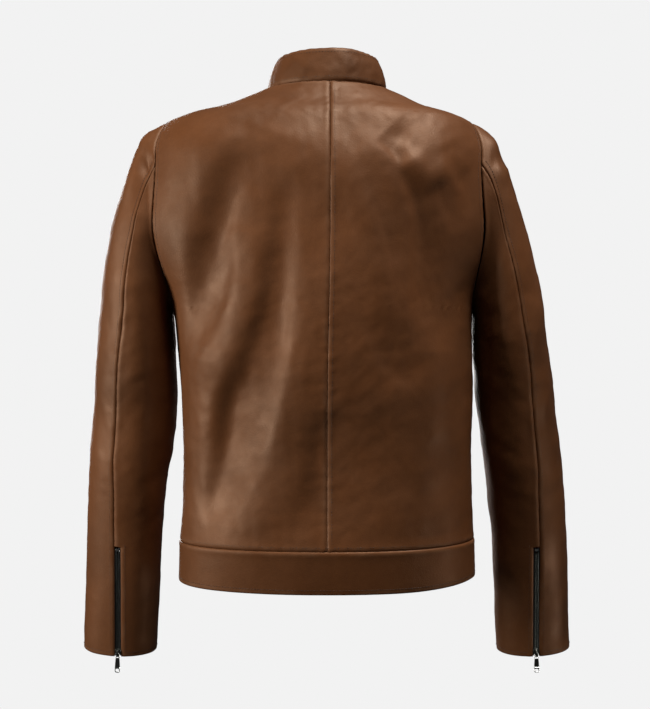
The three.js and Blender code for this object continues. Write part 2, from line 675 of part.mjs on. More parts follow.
// A frame of leather sewn on round the slot.
function pocketWelt() {
  const [w, l] = [slitHalfWidth + pocketWeltWidth, pocketZipLength + pocketWeltWidth];
  const rows = 6;
  const at = (x, y, height) => {
    const group = pocketZip();
    group.updateMatrix();
    const p = vec(x, y, 0).applyMatrix4(group.matrix);
    const foot = onFront({ x: p.x, z: p.z });
    const n = onFront({ x: p.x, z: p.z }, -1).sub(foot);
    return foot.addScaledVector(n, height);
  };
  const grid = (height) =>
    steps(-pocketWeltWidth, l, rows).map((y) => steps(-w, w, 4).map((x) => at(x, y, height)));
  return cut(sheet(grid(layerGap + leather), grid(layerGap)), pocketSlot());
}

// The bag hangs flat between the panel and the lining.
function pocketBag() {
  const insets = [-tapeZ[0] + layerGap + 0.6, gussetInset];
  const rows = steps(pocketLow.z - 40, pocketHigh.z - 6, 5);
  const outerX = (z) => mix(pocketLow.x, pocketHigh.x, (z - pocketLow.z) / (pocketHigh.z - pocketLow.z)) - 8;
  return patch(
    torsoPoint, rows, (z) => [frontAngle(Math.max(outerX(z) - pocketBagReach, 18), z), frontAngle(outerX(z), z)],
    5, insets,
  );
}

// ---- Sleeves and cuffs --------------------------------------------------------------------------------

const aboveZip = 3;
const slitAngle = (row, half) => (half / armHalfWidth(Math.max(row, sleeveHeadLength))) * (180 / Math.PI);
const sleeveRows = [
  ...steps(armholeGap * 1.6, sleeveHeadLength, 7),
  ...steps(sleeveHeadLength, zipTopRow, 5).slice(1),
  ...steps(zipTopRow + aboveZip, cuffRow, 4),
];
// The outer panel's edge runs straight on beside the zip, and the under panel has the slit cut out of it.
const seamBefore = (row) => backAngle(row) - slitAngle(row, slitHalfWidth);
const seamAfter = (row) => backAngle(row) + slitAngle(row, row > zipTopRow ? slitHalfWidth : seamGap - slitHalfWidth);
const frontSeam = (row, side) => frontSeamAngle + side * slitAngle(row, seamGap / 2);
const sleeveOuter = patch(
  sleevePoint, sleeveRows, (row) => [frontSeam(row, 1), seamBefore(row)], 9, [0, leather],
);
const sleeveUnder = patch(
  sleevePoint, sleeveRows, (row) => [seamAfter(row), 360 + frontSeam(row, -1)], 12, [0, leather],
);
const sleeveLiningRows = [
  ...steps(liningArmholeGap * 2, sleeveHeadLength, 5),
  ...steps(sleeveHeadLength, cuffRow - 14, 7).slice(1),
];
const sleeveLining = patch(sleevePoint, sleeveLiningRows, () => [0, 360], 14, liningInsets, true);
const gussetHalfWidth = 22;
const cuffGusset = patch(
  sleevePoint, steps(zipTopRow - 8, cuffRow - 1, 4),
  (row) => [backAngle(row) - slitAngle(row, gussetHalfWidth), backAngle(row) + slitAngle(row, gussetHalfWidth)],
  4, [gussetInset, gussetInset + leather],
);

const cuffZipBottom = sleevePoint(backAngle(cuffRow), cuffRow);
const cuffZipTop = sleevePoint(backAngle(zipTopRow), zipTopRow);
const cuffMiddleRow = (cuffRow + zipTopRow) / 2;
const cuffZipNormal = sleevePoint(backAngle(cuffMiddleRow), cuffMiddleRow, -1).sub(
  sleevePoint(backAngle(cuffMiddleRow), cuffMiddleRow),
);
// The pull hangs straight down, which is this far off the chain.
function hangAngle(group) {
  const down = vec(0, 0, -1).applyQuaternion(group.quaternion.clone().invert());
  return (Math.atan2(down.z, -down.y) * 180) / Math.PI;
}

function addSide(side) {
  const half = new THREE.Group();
  half.scale.x = side === "left" ? 1 : -1;
  frame.add(half);
  add(half, `back_panel_${side}`, backPanel, brownLeather);
  add(half, `front_panel_${side}`, frontPanel, brownLeather);
  add(half, `hem_band_front_${side}`, hemBandFront, brownLeather);
  add(half, `lining_front_${side}`, liningFront, darkLining);
  add(half, `front_facing_${side}`, facing, brownLeather);
  add(half, `sleeve_outer_${side}`, sleeveOuter, brownLeather);
  add(half, `sleeve_under_${side}`, sleeveUnder, brownLeather);
  add(half, `sleeve_lining_${side}`, sleeveLining, darkLining);
  add(half, `cuff_gusset_${side}`, cuffGusset, brownLeather);
  add(half, `pocket_welt_${side}`, pocketWelt(), brownLeather);
  add(half, `pocket_bag_${side}`, pocketBag(), darkLining);

  const cuffZip = zipGroup(cuffZipBottom, cuffZipTop, cuffZipNormal);
  half.add(cuffZip);
  const chainEnd = cuffZipLength - 7;
  for (const [edge, sign] of [["outer", -1], ["under", 1]]) {
    const row = new THREE.Group();
    row.scale.x = sign;
    cuffZip.add(row);
    add(row, `cuff_tape_${edge}_${side}`, tape(tapeHalfWidth, 1, cuffZipLength - 3), blackTape);
    add(row, `cuff_teeth_${edge}_${side}`, teeth(1.5, chainEnd), gunmetal);
  }
  add(
    cuffZip, `cuff_top_stop_${side}`,
    box([-chainHalfWidth, chainHalfWidth], [chainEnd + runClearance, chainEnd + runClearance + stopLength],
      [chainTop - chainThickness, chainTop + 0.6]),
    nickel,
  );
  addRunner(cuffZip, sliderLength / 2 - 0.5, {
    slider: `cuff_slider_${side}`, frame: `cuff_pull_frame_${side}`, tab: `cuff_pull_tab_${side}`,
  }, hangAngle(cuffZip));

  const pocket = pocketZip();
  half.add(pocket);
  add(
    pocket, `pocket_teeth_${side}`,
    cut(
      box([-chainHalfWidth, chainHalfWidth], [1, pocketZipLength - 1], [chainTop - chainThickness, chainTop]),
      box([-chainSpacing, chainSpacing], [3, pocketZipLength], [chainTop - chainThickness - 1, chainTop + 1]),
    ),
    gunmetal,
  );
  const slider = add(pocket, `pocket_slider_${side}`, sliderGeometry(), gunmetal);
  slider.position.set(0, pocketZipLength - 1 - sliderLength / 2, pullAxis);
  const pull = add(pocket, `pocket_pull_${side}`, pullFrameGeometry(), nickel);
  pull.position.copy(slider.position);
}

["left", "right"].forEach(addSide);
add(frame, "hem_band_back", hemBandBack, brownLeather);
add(frame, "lining_back", liningBack, darkLining);
add(frame, "collar_outer", collarOuter, brownLeather);
add(frame, "collar_inner", collarInner, brownLeather);
add(frame, "collar_tab", collarTab, brownLeather);
add(frame, "collar_snap_cap", disc(snapX, snapRadius, tabInset + tabThickness + layerGap, tabInset + tabThickness + layerGap + 1.4), nickel);
add(frame, "collar_snap_stud", disc(snapX, snapRadius - 2, 0.4, tabInset - 0.3), nickel);
add(frame, "hanger_loop", hangerLoopGeometry(), brownLeather);

// The hanger loop's bearing edge becomes the origin.
frame.position.set(0, -loopBearingY, -loopZ);

export default jacket;
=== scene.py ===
"""A leather riding jacket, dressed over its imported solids.

All lengths inside the functions are in millimetres in the cutter's frame: z is the height above the hem,
x runs to the wearer's left and y to the back. row_frame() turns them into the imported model's metres."""

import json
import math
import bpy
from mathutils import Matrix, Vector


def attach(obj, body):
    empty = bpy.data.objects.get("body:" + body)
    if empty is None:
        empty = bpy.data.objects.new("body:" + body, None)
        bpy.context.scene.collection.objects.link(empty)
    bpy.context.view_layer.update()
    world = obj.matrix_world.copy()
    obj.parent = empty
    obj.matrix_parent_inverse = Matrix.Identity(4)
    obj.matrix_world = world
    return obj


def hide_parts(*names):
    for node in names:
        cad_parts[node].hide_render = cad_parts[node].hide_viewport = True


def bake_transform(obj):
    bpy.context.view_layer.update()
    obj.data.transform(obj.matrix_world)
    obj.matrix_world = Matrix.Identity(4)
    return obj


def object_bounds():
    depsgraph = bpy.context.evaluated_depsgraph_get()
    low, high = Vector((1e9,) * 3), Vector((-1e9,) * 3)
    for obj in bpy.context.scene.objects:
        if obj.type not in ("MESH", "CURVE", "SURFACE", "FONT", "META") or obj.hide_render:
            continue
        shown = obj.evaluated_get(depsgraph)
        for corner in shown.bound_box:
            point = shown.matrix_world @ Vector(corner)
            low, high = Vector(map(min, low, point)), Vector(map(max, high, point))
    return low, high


bl_info = {
    "name": "Leather Riding Jacket",
    "version": (1, 0, 0),
    "blender": (4, 5, 0),
    "location": "View3D > Sidebar > Jacket",
    "description": "Leather, lining, stitching and zips for a riding jacket's solids",
    "category": "Add Mesh",
}

import bpy
import numpy as np
from bpy.props import FloatProperty, FloatVectorProperty, PointerProperty
from mathutils import Vector

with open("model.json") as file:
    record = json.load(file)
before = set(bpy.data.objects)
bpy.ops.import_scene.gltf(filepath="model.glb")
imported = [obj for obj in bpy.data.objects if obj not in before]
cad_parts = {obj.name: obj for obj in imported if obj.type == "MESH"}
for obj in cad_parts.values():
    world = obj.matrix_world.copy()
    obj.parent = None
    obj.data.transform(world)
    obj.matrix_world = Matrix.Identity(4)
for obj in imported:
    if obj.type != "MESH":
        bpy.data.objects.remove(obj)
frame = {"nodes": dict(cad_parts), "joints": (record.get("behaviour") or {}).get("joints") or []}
SOLIDS_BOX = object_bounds()
JOINTS = {joint["name"]: joint for joint in frame["joints"]}
MM = 1000.0
LOOP = np.array([0.0, 40.4, 616.0])  # the hanger loop's bearing edge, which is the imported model's origin
SIDES = (("left", 1.0), ("right", -1.0))

# ---- Sizes that the pattern is cut to -----------------------------------------------------------------

BODY_HEIGHT = 624.0
SHOULDER_DROP = 43.0
ARMHOLE_HEIGHT = 236.0
ARMHOLE_HALF_ANGLE = 17.0
BAND_HEIGHT = 52.0
WAIST = 150.0
HEM_BACK_DROP = 2.0
NECK_HALF = 75.5
SHOULDER_HALF = 192.0
BLADE_HALF = 228.0
FRONT_DEPTH = 120.0
FRONT_LEAN = 0.042
NECK_FRONT_DROP = 73.0
NECK_BACK_DROP = 0.0
NECK_FORWARD = 6.0
SLEEVE_HEAD = 200.0
CUFF_ZIP = 146.0
FRONT_SEAM = -75.0
COLLAR_HEIGHT = 42.0
LEATHER = 1.2
SLIT_HALF = 4.6
LINING_INSET = 8.1
LINING = 0.8
GUSSET_INSET = 6.1
CHAIN_TOP = -1.5
CHAIN_THICK = 2.6
PULL_AXIS = 0.9
TAPE_MIDDLE = CHAIN_TOP - CHAIN_THICK / 2
POCKET_LOW = (118.0, 88.0)
POCKET_HIGH = (84.0, 222.0)
POCKET_ZIP = 150.0
WELT_WIDTH = 9.0
CUFF_SLIDER_AT = 5.0  # how far up its zip each slider rests
POCKET_SLIDER_AT = 143.5
FRONT_SLIDER_BELOW = 9.5  # and the front one, below the neckline
CUFF_CHAIN_SHORT = 7.0  # the cuff's teeth end this far below the top of its zip
SHOULDER_SHIFT = 10.5  # how far the worn body's shoulders sit to one side
CENTRE_SHIFT = 3.6  # and how far its centre seam shifts the other way above the waist
CORNER_RISE = 6.0  # how far the hem's right corner rises
YOKE_BULGE = 9.0  # how far the leather stands out over the shoulder blades

SHOULDER_Z = BODY_HEIGHT - SHOULDER_DROP
UNDERARM_Z = SHOULDER_Z - ARMHOLE_HEIGHT
SHOULDER_RUN = math.hypot(SHOULDER_HALF - NECK_HALF, SHOULDER_DROP)
NECK_ROW = SHOULDER_Z + SHOULDER_RUN
EVEN_FROM = 560.0  # the row from which the front rises evenly to the neckline


def smooth(knots, values):
    """A smooth curve through the points (knots[i], values[i]) that doesn't overshoot them."""
    k, v = np.array(knots, float), np.array(values, float)
    secant = np.diff(v) / np.diff(k)
    slope = np.zeros(len(k))
    slope[0], slope[-1] = secant[0], secant[-1]
    for i in range(1, len(k) - 1):
        a, b = secant[i - 1], secant[i]
        slope[i] = 0 if a * b <= 0 else 2 * a * b / (a + b)

    def curve(x):
        x = np.asarray(x, float)
        i = np.clip(np.searchsorted(k, x, side="left") - 1, 0, len(k) - 2)
        h = k[i + 1] - k[i]
        t = np.clip((x - k[i]) / h, 0, 1)
        ends = v[i] * (2 * t**3 - 3 * t**2 + 1) + v[i + 1] * (3 * t**2 - 2 * t**3)
        return ends + h * (slope[i] * (t**3 - 2 * t**2 + t) + slope[i + 1] * (t**3 - t**2))

    return curve


def unit(v):
    return v / np.maximum(np.linalg.norm(v, axis=-1, keepdims=True), 1e-12)


def twist(p, sign=1.0):
    """The worn body's slight turn: its shoulders sit a little to the left of its hem. Sign -1 is for
    points given on the other side."""
    x, y, z = p[..., 0], p[..., 1], p[..., 2]
    t = np.clip((z - 200) / 270, 0, 1)
    body = t * t * (3 - 2 * t)
    arm = 0.556 * np.clip((z - 50) / 295, 0, 1) * np.clip((np.abs(x) - 200) / 10, 0, 1)
    aside = np.clip((np.abs(x) - 60) / 125, 0, 1)
    shift = SHOULDER_SHIFT * np.maximum(body, arm) * aside * aside * (3 - 2 * aside)
    shift = shift - CENTRE_SHIFT * body * np.exp(-((x / 50) ** 2))
    made = np.array(p, float)
    whole = np.clip((y + 85) / 45, 0, 1)
    made[..., 0] += sign * shift * whole
    corner = np.clip((-sign * x - 80) / 100, 0, 1) * np.clip((200 - np.abs(x)) / 8, 0, 1)
    made[..., 2] += CORNER_RISE * whole * corner * corner * np.clip((100 - z) / 90, 0, 1) ** 1.5
    return made


def row_frame(p):
    return (np.asarray(p, float) - LOOP) / MM


# ---- The body, the sleeve and the collar as surfaces --------------------------------------------------

BODY_ROWS = [
    0, BAND_HEIGHT, WAIST, UNDERARM_Z - 45, UNDERARM_Z, UNDERARM_Z + 0.46 * ARMHOLE_HEIGHT,
    UNDERARM_Z + 0.81 * ARMHOLE_HEIGHT, SHOULDER_Z, SHOULDER_Z + SHOULDER_RUN / 2, NECK_ROW,
]
side_z = smooth(BODY_ROWS, BODY_ROWS[:8] + [BODY_HEIGHT - 0.57 * SHOULDER_DROP, BODY_HEIGHT])
half_width = smooth(BODY_ROWS, [
    188, 186.5, 182, 187, 190, BLADE_HALF, 0.75 * BLADE_HALF + 0.25 * SHOULDER_HALF, SHOULDER_HALF,
    (SHOULDER_HALF + NECK_HALF) / 2, NECK_HALF,
])
back_depth = smooth(BODY_ROWS, [113, 113, 112, 122, 124, 121, 106.5, 92, 77, 62])
squareness = smooth(BODY_ROWS, [2.35, 2.35, 2.3, 2.3, 2.3, 2.3, 2.3, 2.25, 2.12, 2])
neck_share = smooth(BODY_ROWS, [0, 0, 0, 0, 0.02, 0.12, 0.35, 0.55, 0.8, 1])
centre_y = smooth(BODY_ROWS, [0, 0, 0, 0, 0, 0, 0, 0, -NECK_FORWARD / 2, -NECK_FORWARD])


def front_height(s, row):
    return side_z(row) - NECK_FRONT_DROP * s * s * neck_share(row)


def even_front(s, row, tall):
    """The front's height, rising evenly from below the neck to the neckline."""
    low, high = front_height(s, EVEN_FROM), front_height(s, NECK_ROW)
    even = low + (high - low) * np.clip((row - EVEN_FROM) / (NECK_ROW - EVEN_FROM), 0, 1)
    share = np.clip((-s - 0.25) / 0.5, 0, 1)
    share = share * share * (3 - 2 * share)
    return np.where(row > EVEN_FROM, tall + (even - tall) * share, tall)


def body_face(angle, row):
    """The body's outer face. Angle 0 is the left side, 90 the centre back and -90 the centre front."""
    c, s = np.cos(np.radians(angle)), np.sin(np.radians(angle))
    share = neck_share(row)
    z = side_z(row)
    drop = np.where(s < 0, NECK_FRONT_DROP, NECK_BACK_DROP) * s * s * share
    hem = np.where(s > 0, HEM_BACK_DROP, 0.0) * s * s * np.maximum(0, 1 - row / WAIST) ** 2
    a, y0, n = half_width(row), centre_y(row), squareness(row)
    front = y0 + FRONT_DEPTH - FRONT_LEAN * (z - NECK_FRONT_DROP * share)
    b = np.where(s < 0, front, back_depth(row) - y0)
    r = (np.abs(c / a) ** n + np.abs(s / b) ** n) ** (-1 / n)
    return np.stack([r * c, y0 + r * s, even_front(s, row, z - drop - hem)], -1)


ARM = np.array([
    [238.8, -4, 305, 48.2, 63], [244.4, -10, 220, 51.8, 52], [256.1, -20, 128, 49.9, 47],
    [262.1, -28, 64, 48.6, 43.5], [266.6, -36, -17, 48.1, 40.5], [271.1, -44, -98, 47.6, 37.5],
])
ARM_ROWS = SLEEVE_HEAD + np.concatenate([[0], np.cumsum(np.linalg.norm(np.diff(ARM[:, :3], axis=0), axis=1))])
CUFF_ROW = float(ARM_ROWS[-1])
ZIP_TOP_ROW = CUFF_ROW - CUFF_ZIP
arm_curves = [smooth(ARM_ROWS, ARM[:, i]) for i in range(5)]
back_angle = smooth(
    [0, 0.4 * SLEEVE_HEAD, 0.75 * SLEEVE_HEAD, ARM_ROWS[1] - 40, ZIP_TOP_ROW - 0.8 * CUFF_ZIP,
     ZIP_TOP_ROW - 0.4 * CUFF_ZIP, ZIP_TOP_ROW, CUFF_ROW],
    [66, 85, 84, 77, 79, 86.5 - 0.4 * 6.5, 86.5, 93],
)


def arm_centre(row):
    return np.stack([arm_curves[i](row) for i in range(3)], -1)


def arm_face(angle, row):
    inside = np.clip(row, SLEEVE_HEAD, CUFF_ROW)
    down = arm_centre(np.minimum(inside + 4, CUFF_ROW)) - arm_centre(np.maximum(inside - 4, SLEEVE_HEAD))
    axis = unit(down)
    back = unit(np.array([0, 1.0, 0]) - axis * axis[..., 1:2])
    out = -np.cross(back, axis)
    c, s = np.cos(np.radians(angle)), np.sin(np.radians(angle))
    across = out * (arm_curves[3](inside) * c)[..., None] + back * (arm_curves[4](inside) * s)[..., None]
    return arm_centre(inside) + axis * (row - inside)[..., None] + across


def sleeve_face(angle, row):
    """The left sleeve's outer face. Angle 0 is its outer side, 90 its back, and row 0 the armhole."""
    angle, row = np.broadcast_arrays(np.asarray(angle, float), np.asarray(row, float))
    c, s = np.cos(np.radians(angle)), np.sin(np.radians(angle))
    top = (1 + c) / 2
    fall = np.radians(72 + (11 - 72) * top)
    leave = np.stack([np.cos(fall), 0.12 * s, -np.sin(fall)], -1)
    start = body_face(ARMHOLE_HALF_ANGLE * s, (UNDERARM_Z + SHOULDER_Z) / 2 + ARMHOLE_HEIGHT / 2 * c)
    head = np.full_like(row, SLEEVE_HEAD)
    end = arm_face(angle, head)
    into = unit(arm_face(angle, head + 2) - end)
    p1 = start + leave * (12 + (60 - 12) * top)[..., None]
    p2 = end - into * (15 + (84 - 15) * top**1.5)[..., None]
    t = np.clip(row / SLEEVE_HEAD, None, 1)[..., None]
    cap = start * (1 - t) ** 3 + p1 * 3 * t * (1 - t) ** 2 + p2 * 3 * t * t * (1 - t) + end * t**3
    return np.where((row >= SLEEVE_HEAD)[..., None], arm_face(angle, row), cap)


def collar_face(angle, height):
    """The collar's outer face. Height is 0 at the neck seam and 1 at the top edge."""
    angle, height = np.broadcast_arrays(np.asarray(angle, float), np.asarray(height, float))
    c, s = np.cos(np.radians(angle)), np.sin(np.radians(angle))
    lean = (14.5 * c * c + np.where(s > 0, 7.0, 1.0) * s * s) * np.maximum(0, height) ** 2.2
    tall = COLLAR_HEIGHT * height
    base = body_face(angle, np.full_like(angle, NECK_ROW))
    tilt = np.where(s < 0, FRONT_LEAN * tall * s * s, 0)
    return base + np.stack([-c * lean, -s * lean + tilt, tall + 0.15], -1)


def normals(face, u, v, du, dv, low, high):
    """Unit normals of face(u, v), with v kept between low and high."""
    v = np.clip(v, low + dv, high - dv)
    return unit(np.cross(face(u + du, v) - face(u - du, v), face(u, v + dv) - face(u, v - dv)))


def body_normals(angle, row):
    return normals(body_face, angle, row, 0.2, 0.5, 0, NECK_ROW)


def sleeve_normals(angle, row):
    return -normals(sleeve_face, angle, row, 0.5, 0.5, 0.5, CUFF_ROW + 50)


def collar_normals(angle, height):
    return normals(collar_face, angle, height, 0.2, 0.01, 0, 1)


def front_angle(x, row):
    """The angle at which the front lies this far from the centre line, on the left."""
    x, row = np.broadcast_arrays(np.asarray(x, float), np.asarray(row, float))
    low, high = np.full(x.shape, -90.0), np.zeros(x.shape)
    for _ in range(40):
        middle = (low + high) / 2
        short = body_face(middle, row)[..., 0] < x
        low, high = np.where(short, middle, low), np.where(short, high, middle)
    return (low + high) / 2


# ---- Folds --------------------------------------------------------------------------------------------

# A fold is (height, width of its steep side, points down its steep side as x, z). The leather stands higher
# on the wearer's right of the points, and eases off from there; below 0 it lies lower.
BACK_FOLDS = [
    (-16.0, 18, [(98, 566), (126, 506), (146, 458), (157, 412), (165, 360), (176, 300)]),
    (4.0, 6, [(100, 492), (108, 470), (121, 432), (138, 396)]),
    (7.0, 10, [(114, 442), (119, 370), (134, 328), (149, 298), (173, 256)]),
    (-14.0, 14, [
        (58, 505), (70, 412), (75, 370), (86, 328), (98, 298), (112, 262), (132, 226), (142, 180), (150, 110),
        (150, 60),
    ]),
    (-7.5, 9, [(122, 268), (130, 232), (134, 196), (139, 160), (147, 120), (152, 84)]),
    (-6.0, 8, [(170, 430), (169, 380), (172, 330), (178, 286)]),
    (8.0, 12, [
        (38, 500), (42, 400), (46, 340), (50, 292), (59, 250), (70, 202), (81, 160), (104, 118), (130, 70),
    ]),
    (-5.5, 13, [(12, 220), (20, 150), (32, 110), (50, 70)]),
    (3.6, 9, [(-14, 545), (-20, 490), (-27, 442), (-39, 400), (-52, 352), (-54, 290)]),
    (-4.4, 8, [(-38, 520), (-51, 466), (-66, 424), (-76, 382), (-80, 330)]),
    (-8.6, 9, [
        (-30, 572), (-70, 526), (-82, 502), (-94, 478), (-103, 448), (-104, 400), (-103, 352), (-104, 290),
    ]),
    (4.5, 9, [(-70, 520), (-92, 505), (-112, 490), (-118, 478)]),
    (-6.5, 8, [(-130, 530), (-146, 508), (-168, 488), (-178, 454), (-176, 400)]),
    (-5.0, 4, [(-58, 542), (-76, 524), (-88, 508)]),
    (-2.0, 3, [(-126, 490), (-140, 460), (-154, 430)]),
    (7.5, 22, [(-120, 330), (-118, 250), (-108, 160), (-92, 70)]),
    (3.0, 7, [(-60, 250), (-78, 180), (-112, 120)]),
    (-3.0, 7, [(-40, 330), (-66, 270), (-104, 240)]),
    (2.2, 5, [(60, 62), (110, 60), (160, 66)]),
    (2.2, 5, [(-172, 66), (-130, 62), (-84, 60)]),
]
# Yoke: its lower edge, where the leather turns from the shoulders down the back.
YOKE_FOLDS = [
    (4.5, 8, [(-178, 524), (-150, 532), (-118, 508), (-96, 536), (-60, 552), (-30, 560)]),
    (2.5, 12, [(30, 556), (80, 548), (120, 552), (160, 540)]),
]
FRONT_FOLDS = [
    (4.2, 14, [(60, 540), (80, 440), (120, 360), (160, 290)]),
    (-4.2, 14, [(90, 510), (125, 420), (165, 340)]),
    (3.0, 14, [(45, 420), (60, 310), (95, 220)]), (-2.8, 12, [(26, 450), (38, 330), (64, 220)]),
    (-2.8, 14, [(140, 260), (130, 160), (145, 70)]), (1.2, 5, [(60, 62), (110, 60), (165, 66)]),
]
SLEEVE_BACK_FOLDS = {
    "left": [
        (5.5, 5, [(228, 526), (214, 531), (202, 537)]), (-5.0, 6, [(244, 516), (224, 512), (204, 519)]),
        (-5.5, 9, [(218, 566), (232, 525), (244, 460)]), (3.2, 7, [(205, 462), (203, 440), (204, 404)]),
        (-3.4, 9, [(212, 500), (215, 440), (208, 370)]), (2.6, 12, [(226, 420), (236, 320), (246, 230)]),
        (-3.0, 14, [(206, 340), (214, 240), (226, 140)]), (2.0, 10, [(258, 310), (274, 200), (282, 110)]),
        (-1.6, 7, [(256, 96), (262, 60), (266, 20)]), (2.2, 12, [(236, 170), (240, 90), (246, 10)]),
    ],
    "right": [
        (4.0, 6, [(228, 536), (214, 541), (200, 546)]), (-5.5, 6, [(236, 524), (216, 521), (200, 526)]),
        (3.0, 6, [(222, 500), (212, 506), (203, 510)]), (-2.8, 10, [(216, 480), (214, 410), (206, 340)]),
        (2.4, 10, [(230, 430), (240, 320), (248, 230)]), (-2.4, 12, [(214, 310), (222, 200), (234, 100)]),
        (2.0, 10, [(262, 310), (276, 200), (284, 110)]), (1.6, 8, [(232, 70), (238, 30), (242, -10)]),
    ],
}
SLEEVE_FRONT_FOLDS = [
    (-3.0, 6, [(206, 252), (236, 236), (266, 242)]), (2.8, 6, [(206, 236), (240, 216), (276, 226)]),
    (-3.0, 6, [(208, 218), (244, 198), (280, 210)]), (2.2, 7, [(216, 194), (250, 180), (284, 192)]),
    (-3.0, 11, [(204, 450), (216, 380), (234, 320)]), (2.6, 11, [(232, 480), (250, 400), (264, 320)]),
]
COLLAR_FOLDS = [
    (-1.6, 6, [(60, 656), (20, 644), (-20, 640)]), (1.6, 6, [(4, 664), (-12, 650), (-20, 632)]),
    (-1.4, 5, [(-26, 664), (-38, 650), (-44, 634)]), (1.2, 6, [(50, 660), (40, 646), (34, 632)]),
]


def step_up(d, width):
    """From 0 to 1 across a fold's steep side, then easing back to 0 over a hand's breadth."""
    return 0.5 * (1 + np.tanh(1.2 * d / width)) * np.exp(-((np.maximum(d, 0) / (30 + 2.4 * width)) ** 2))


def along_folds(p, folds):
    """How high the folds stand at each point."""
    x, z = p[..., 0], p[..., 2]
    total = np.zeros(x.shape)
    for height, width, points in folds:
        line = np.array(points, float)
        legs = np.diff(line, axis=0)
        lengths = np.linalg.norm(legs, axis=1)
        before = np.concatenate([[0], np.cumsum(lengths)])
        nearest, place, side = np.full(x.shape, 1e9), np.zeros(x.shape), np.ones(x.shape)
        for start, leg, length, done in zip(line[:-1], legs, lengths, before):
            across, up = x - start[0], z - start[1]
            t = np.clip((across * leg[0] + up * leg[1]) / length**2, 0, 1)
            d = np.hypot(across - t * leg[0], up - t * leg[1])
            closer = d < nearest
            nearest = np.where(closer, d, nearest)
            place = np.where(closer, (done + t * length) / before[-1], place)
            side = np.where(closer, np.where(leg[0] * up - leg[1] * across < 0, 1.0, -1.0), side)
        ends = np.clip(np.sin(np.pi * place), 0, 1) ** 0.75
        total += height * ends * step_up(side * nearest, width)
    return total


def make_waves(seed, count, shortest, longest, upright):
    """Wave vectors and phases for crumpled leather. upright is above 1 where its creases run up and down."""
    random = np.random.default_rng(seed)
    lengths = np.exp(random.uniform(math.log(shortest), math.log(longest), count))
    ways = unit(random.normal(size=(count, 3)) * np.array([upright, upright, 1.0]))
    return ways * (2 * np.pi / lengths)[:, None], random.uniform(0, 2 * np.pi, count), lengths / longest


BODY_WAVES = make_waves(11, 26, 38, 150, 1.9)
SLEEVE_WAVES = make_waves(23, 26, 30, 130, 1.3)
FINE_WAVES = make_waves(37, 30, 9, 26, 1.2)
LINING_WAVES = make_waves(41, 22, 22, 90, 1.5)


def crumple(p, waves):
    """Soft irregular creases, about 1 high."""
    ways, phases, weights = waves
    bend = 9 * np.sin(p[..., [2, 0, 1]] / 47.0) + 5 * np.sin(p[..., [1, 2, 0]] / 21.0 + 1.0)
    turns = (p + bend) @ ways.T + phases
    soft = (np.sin(turns) * weights).sum(-1)
    sharp = (np.abs(np.sin(turns[..., ::2] * 0.7)) * weights[::2]).sum(-1)
    return (soft + 0.8 * (sharp - sharp.mean())) / math.sqrt((weights**2).sum())


def body_lift(p, n, row):
    """How far the worn body's leather stands out of its pattern."""
    sizes = bpy.context.scene.jacket_sizes
    back = np.clip(n[..., 1], 0, 1) ** 0.6
    front = np.clip(-n[..., 1], 0, 1) ** 0.6
    mirrored = p * np.array([-1.0, 1, 1])
    lift = back * along_folds(twist(p), BACK_FOLDS + YOKE_FOLDS)
    yoke = np.exp(-(((p[..., 2] - 525) / 52) ** 2)) * np.clip((205 - np.abs(p[..., 0])) / 60, 0, 1)
    lift += YOKE_BULGE * back * yoke
    lift += front * (along_folds(p, FRONT_FOLDS) + 0.85 * along_folds(mirrored, FRONT_FOLDS))
    lift += sizes.crumple * MM * crumple(p, BODY_WAVES) + sizes.fine_crumple * MM * crumple(p, FINE_WAVES)
    near_zip = np.where(n[..., 1] < 0, np.clip((np.abs(p[..., 0]) - 5) / 30, 0, 1), 1)
    near_band = np.clip((row - BAND_HEIGHT) / 22, 0.25, 1)
    near_armhole = np.clip((203 - np.abs(p[..., 0])) / 22, 0.3, 1)
    return lift * near_zip * near_band * near_armhole * sizes.fold_depth


def body_skin(angle, row, inset=0.0, depth=1.0):
    """Points of the worn body's leather, inset towards the wearer, and its normals. Angle runs round."""
    p, n = body_face(angle, row), body_normals(angle, row)
    return p + n * (body_lift(p, n, row) * depth - inset)[..., None], n


def back_folds_of_sleeve(p, n, side):
    worn = twist(p, 1.0 if side == "left" else -1.0)
    return np.clip(n[..., 1], 0, 1) ** 0.5 * along_folds(worn, SLEEVE_BACK_FOLDS[side])


def sleeve_skin(side):
    """The skin function of one sleeve, on the left."""

    def skin(angle, row, inset=0.0, depth=1.0):
        p, n = sleeve_face(angle, row), sleeve_normals(angle, row)
        sizes = bpy.context.scene.jacket_sizes
        lift = back_folds_of_sleeve(p, n, side)
        lift += np.clip(-n[..., 1], 0, 1) ** 0.5 * along_folds(p, SLEEVE_FRONT_FOLDS)
        top = np.clip(np.cos(np.radians(angle)), 0, 1) ** 2
        lift += top * (1.6 * np.exp(-(((row - 30) / 9) ** 2)) - 3.6 * np.exp(-(((row - 78) / 30) ** 2)))
        shift = np.array([0, 0, 0 if side == "left" else 400.0])
        lift += 1.1 * sizes.crumple * MM * crumple(p + shift, SLEEVE_WAVES)
        lift += sizes.fine_crumple * MM * crumple(p + shift, FINE_WAVES)
        cuff = np.clip((ZIP_TOP_ROW - 10 - row) / 90, 0, 1)
        away = np.clip((np.abs(angle - back_angle(row)) - 9) / 30, 0, 1)
        calm = cuff + (1 - cuff) * 0.55 * away
        seat = np.clip(row / 16, 0.15, 1)
        return p + n * (lift * calm * seat * sizes.fold_depth * depth - inset)[..., None], n

    return skin


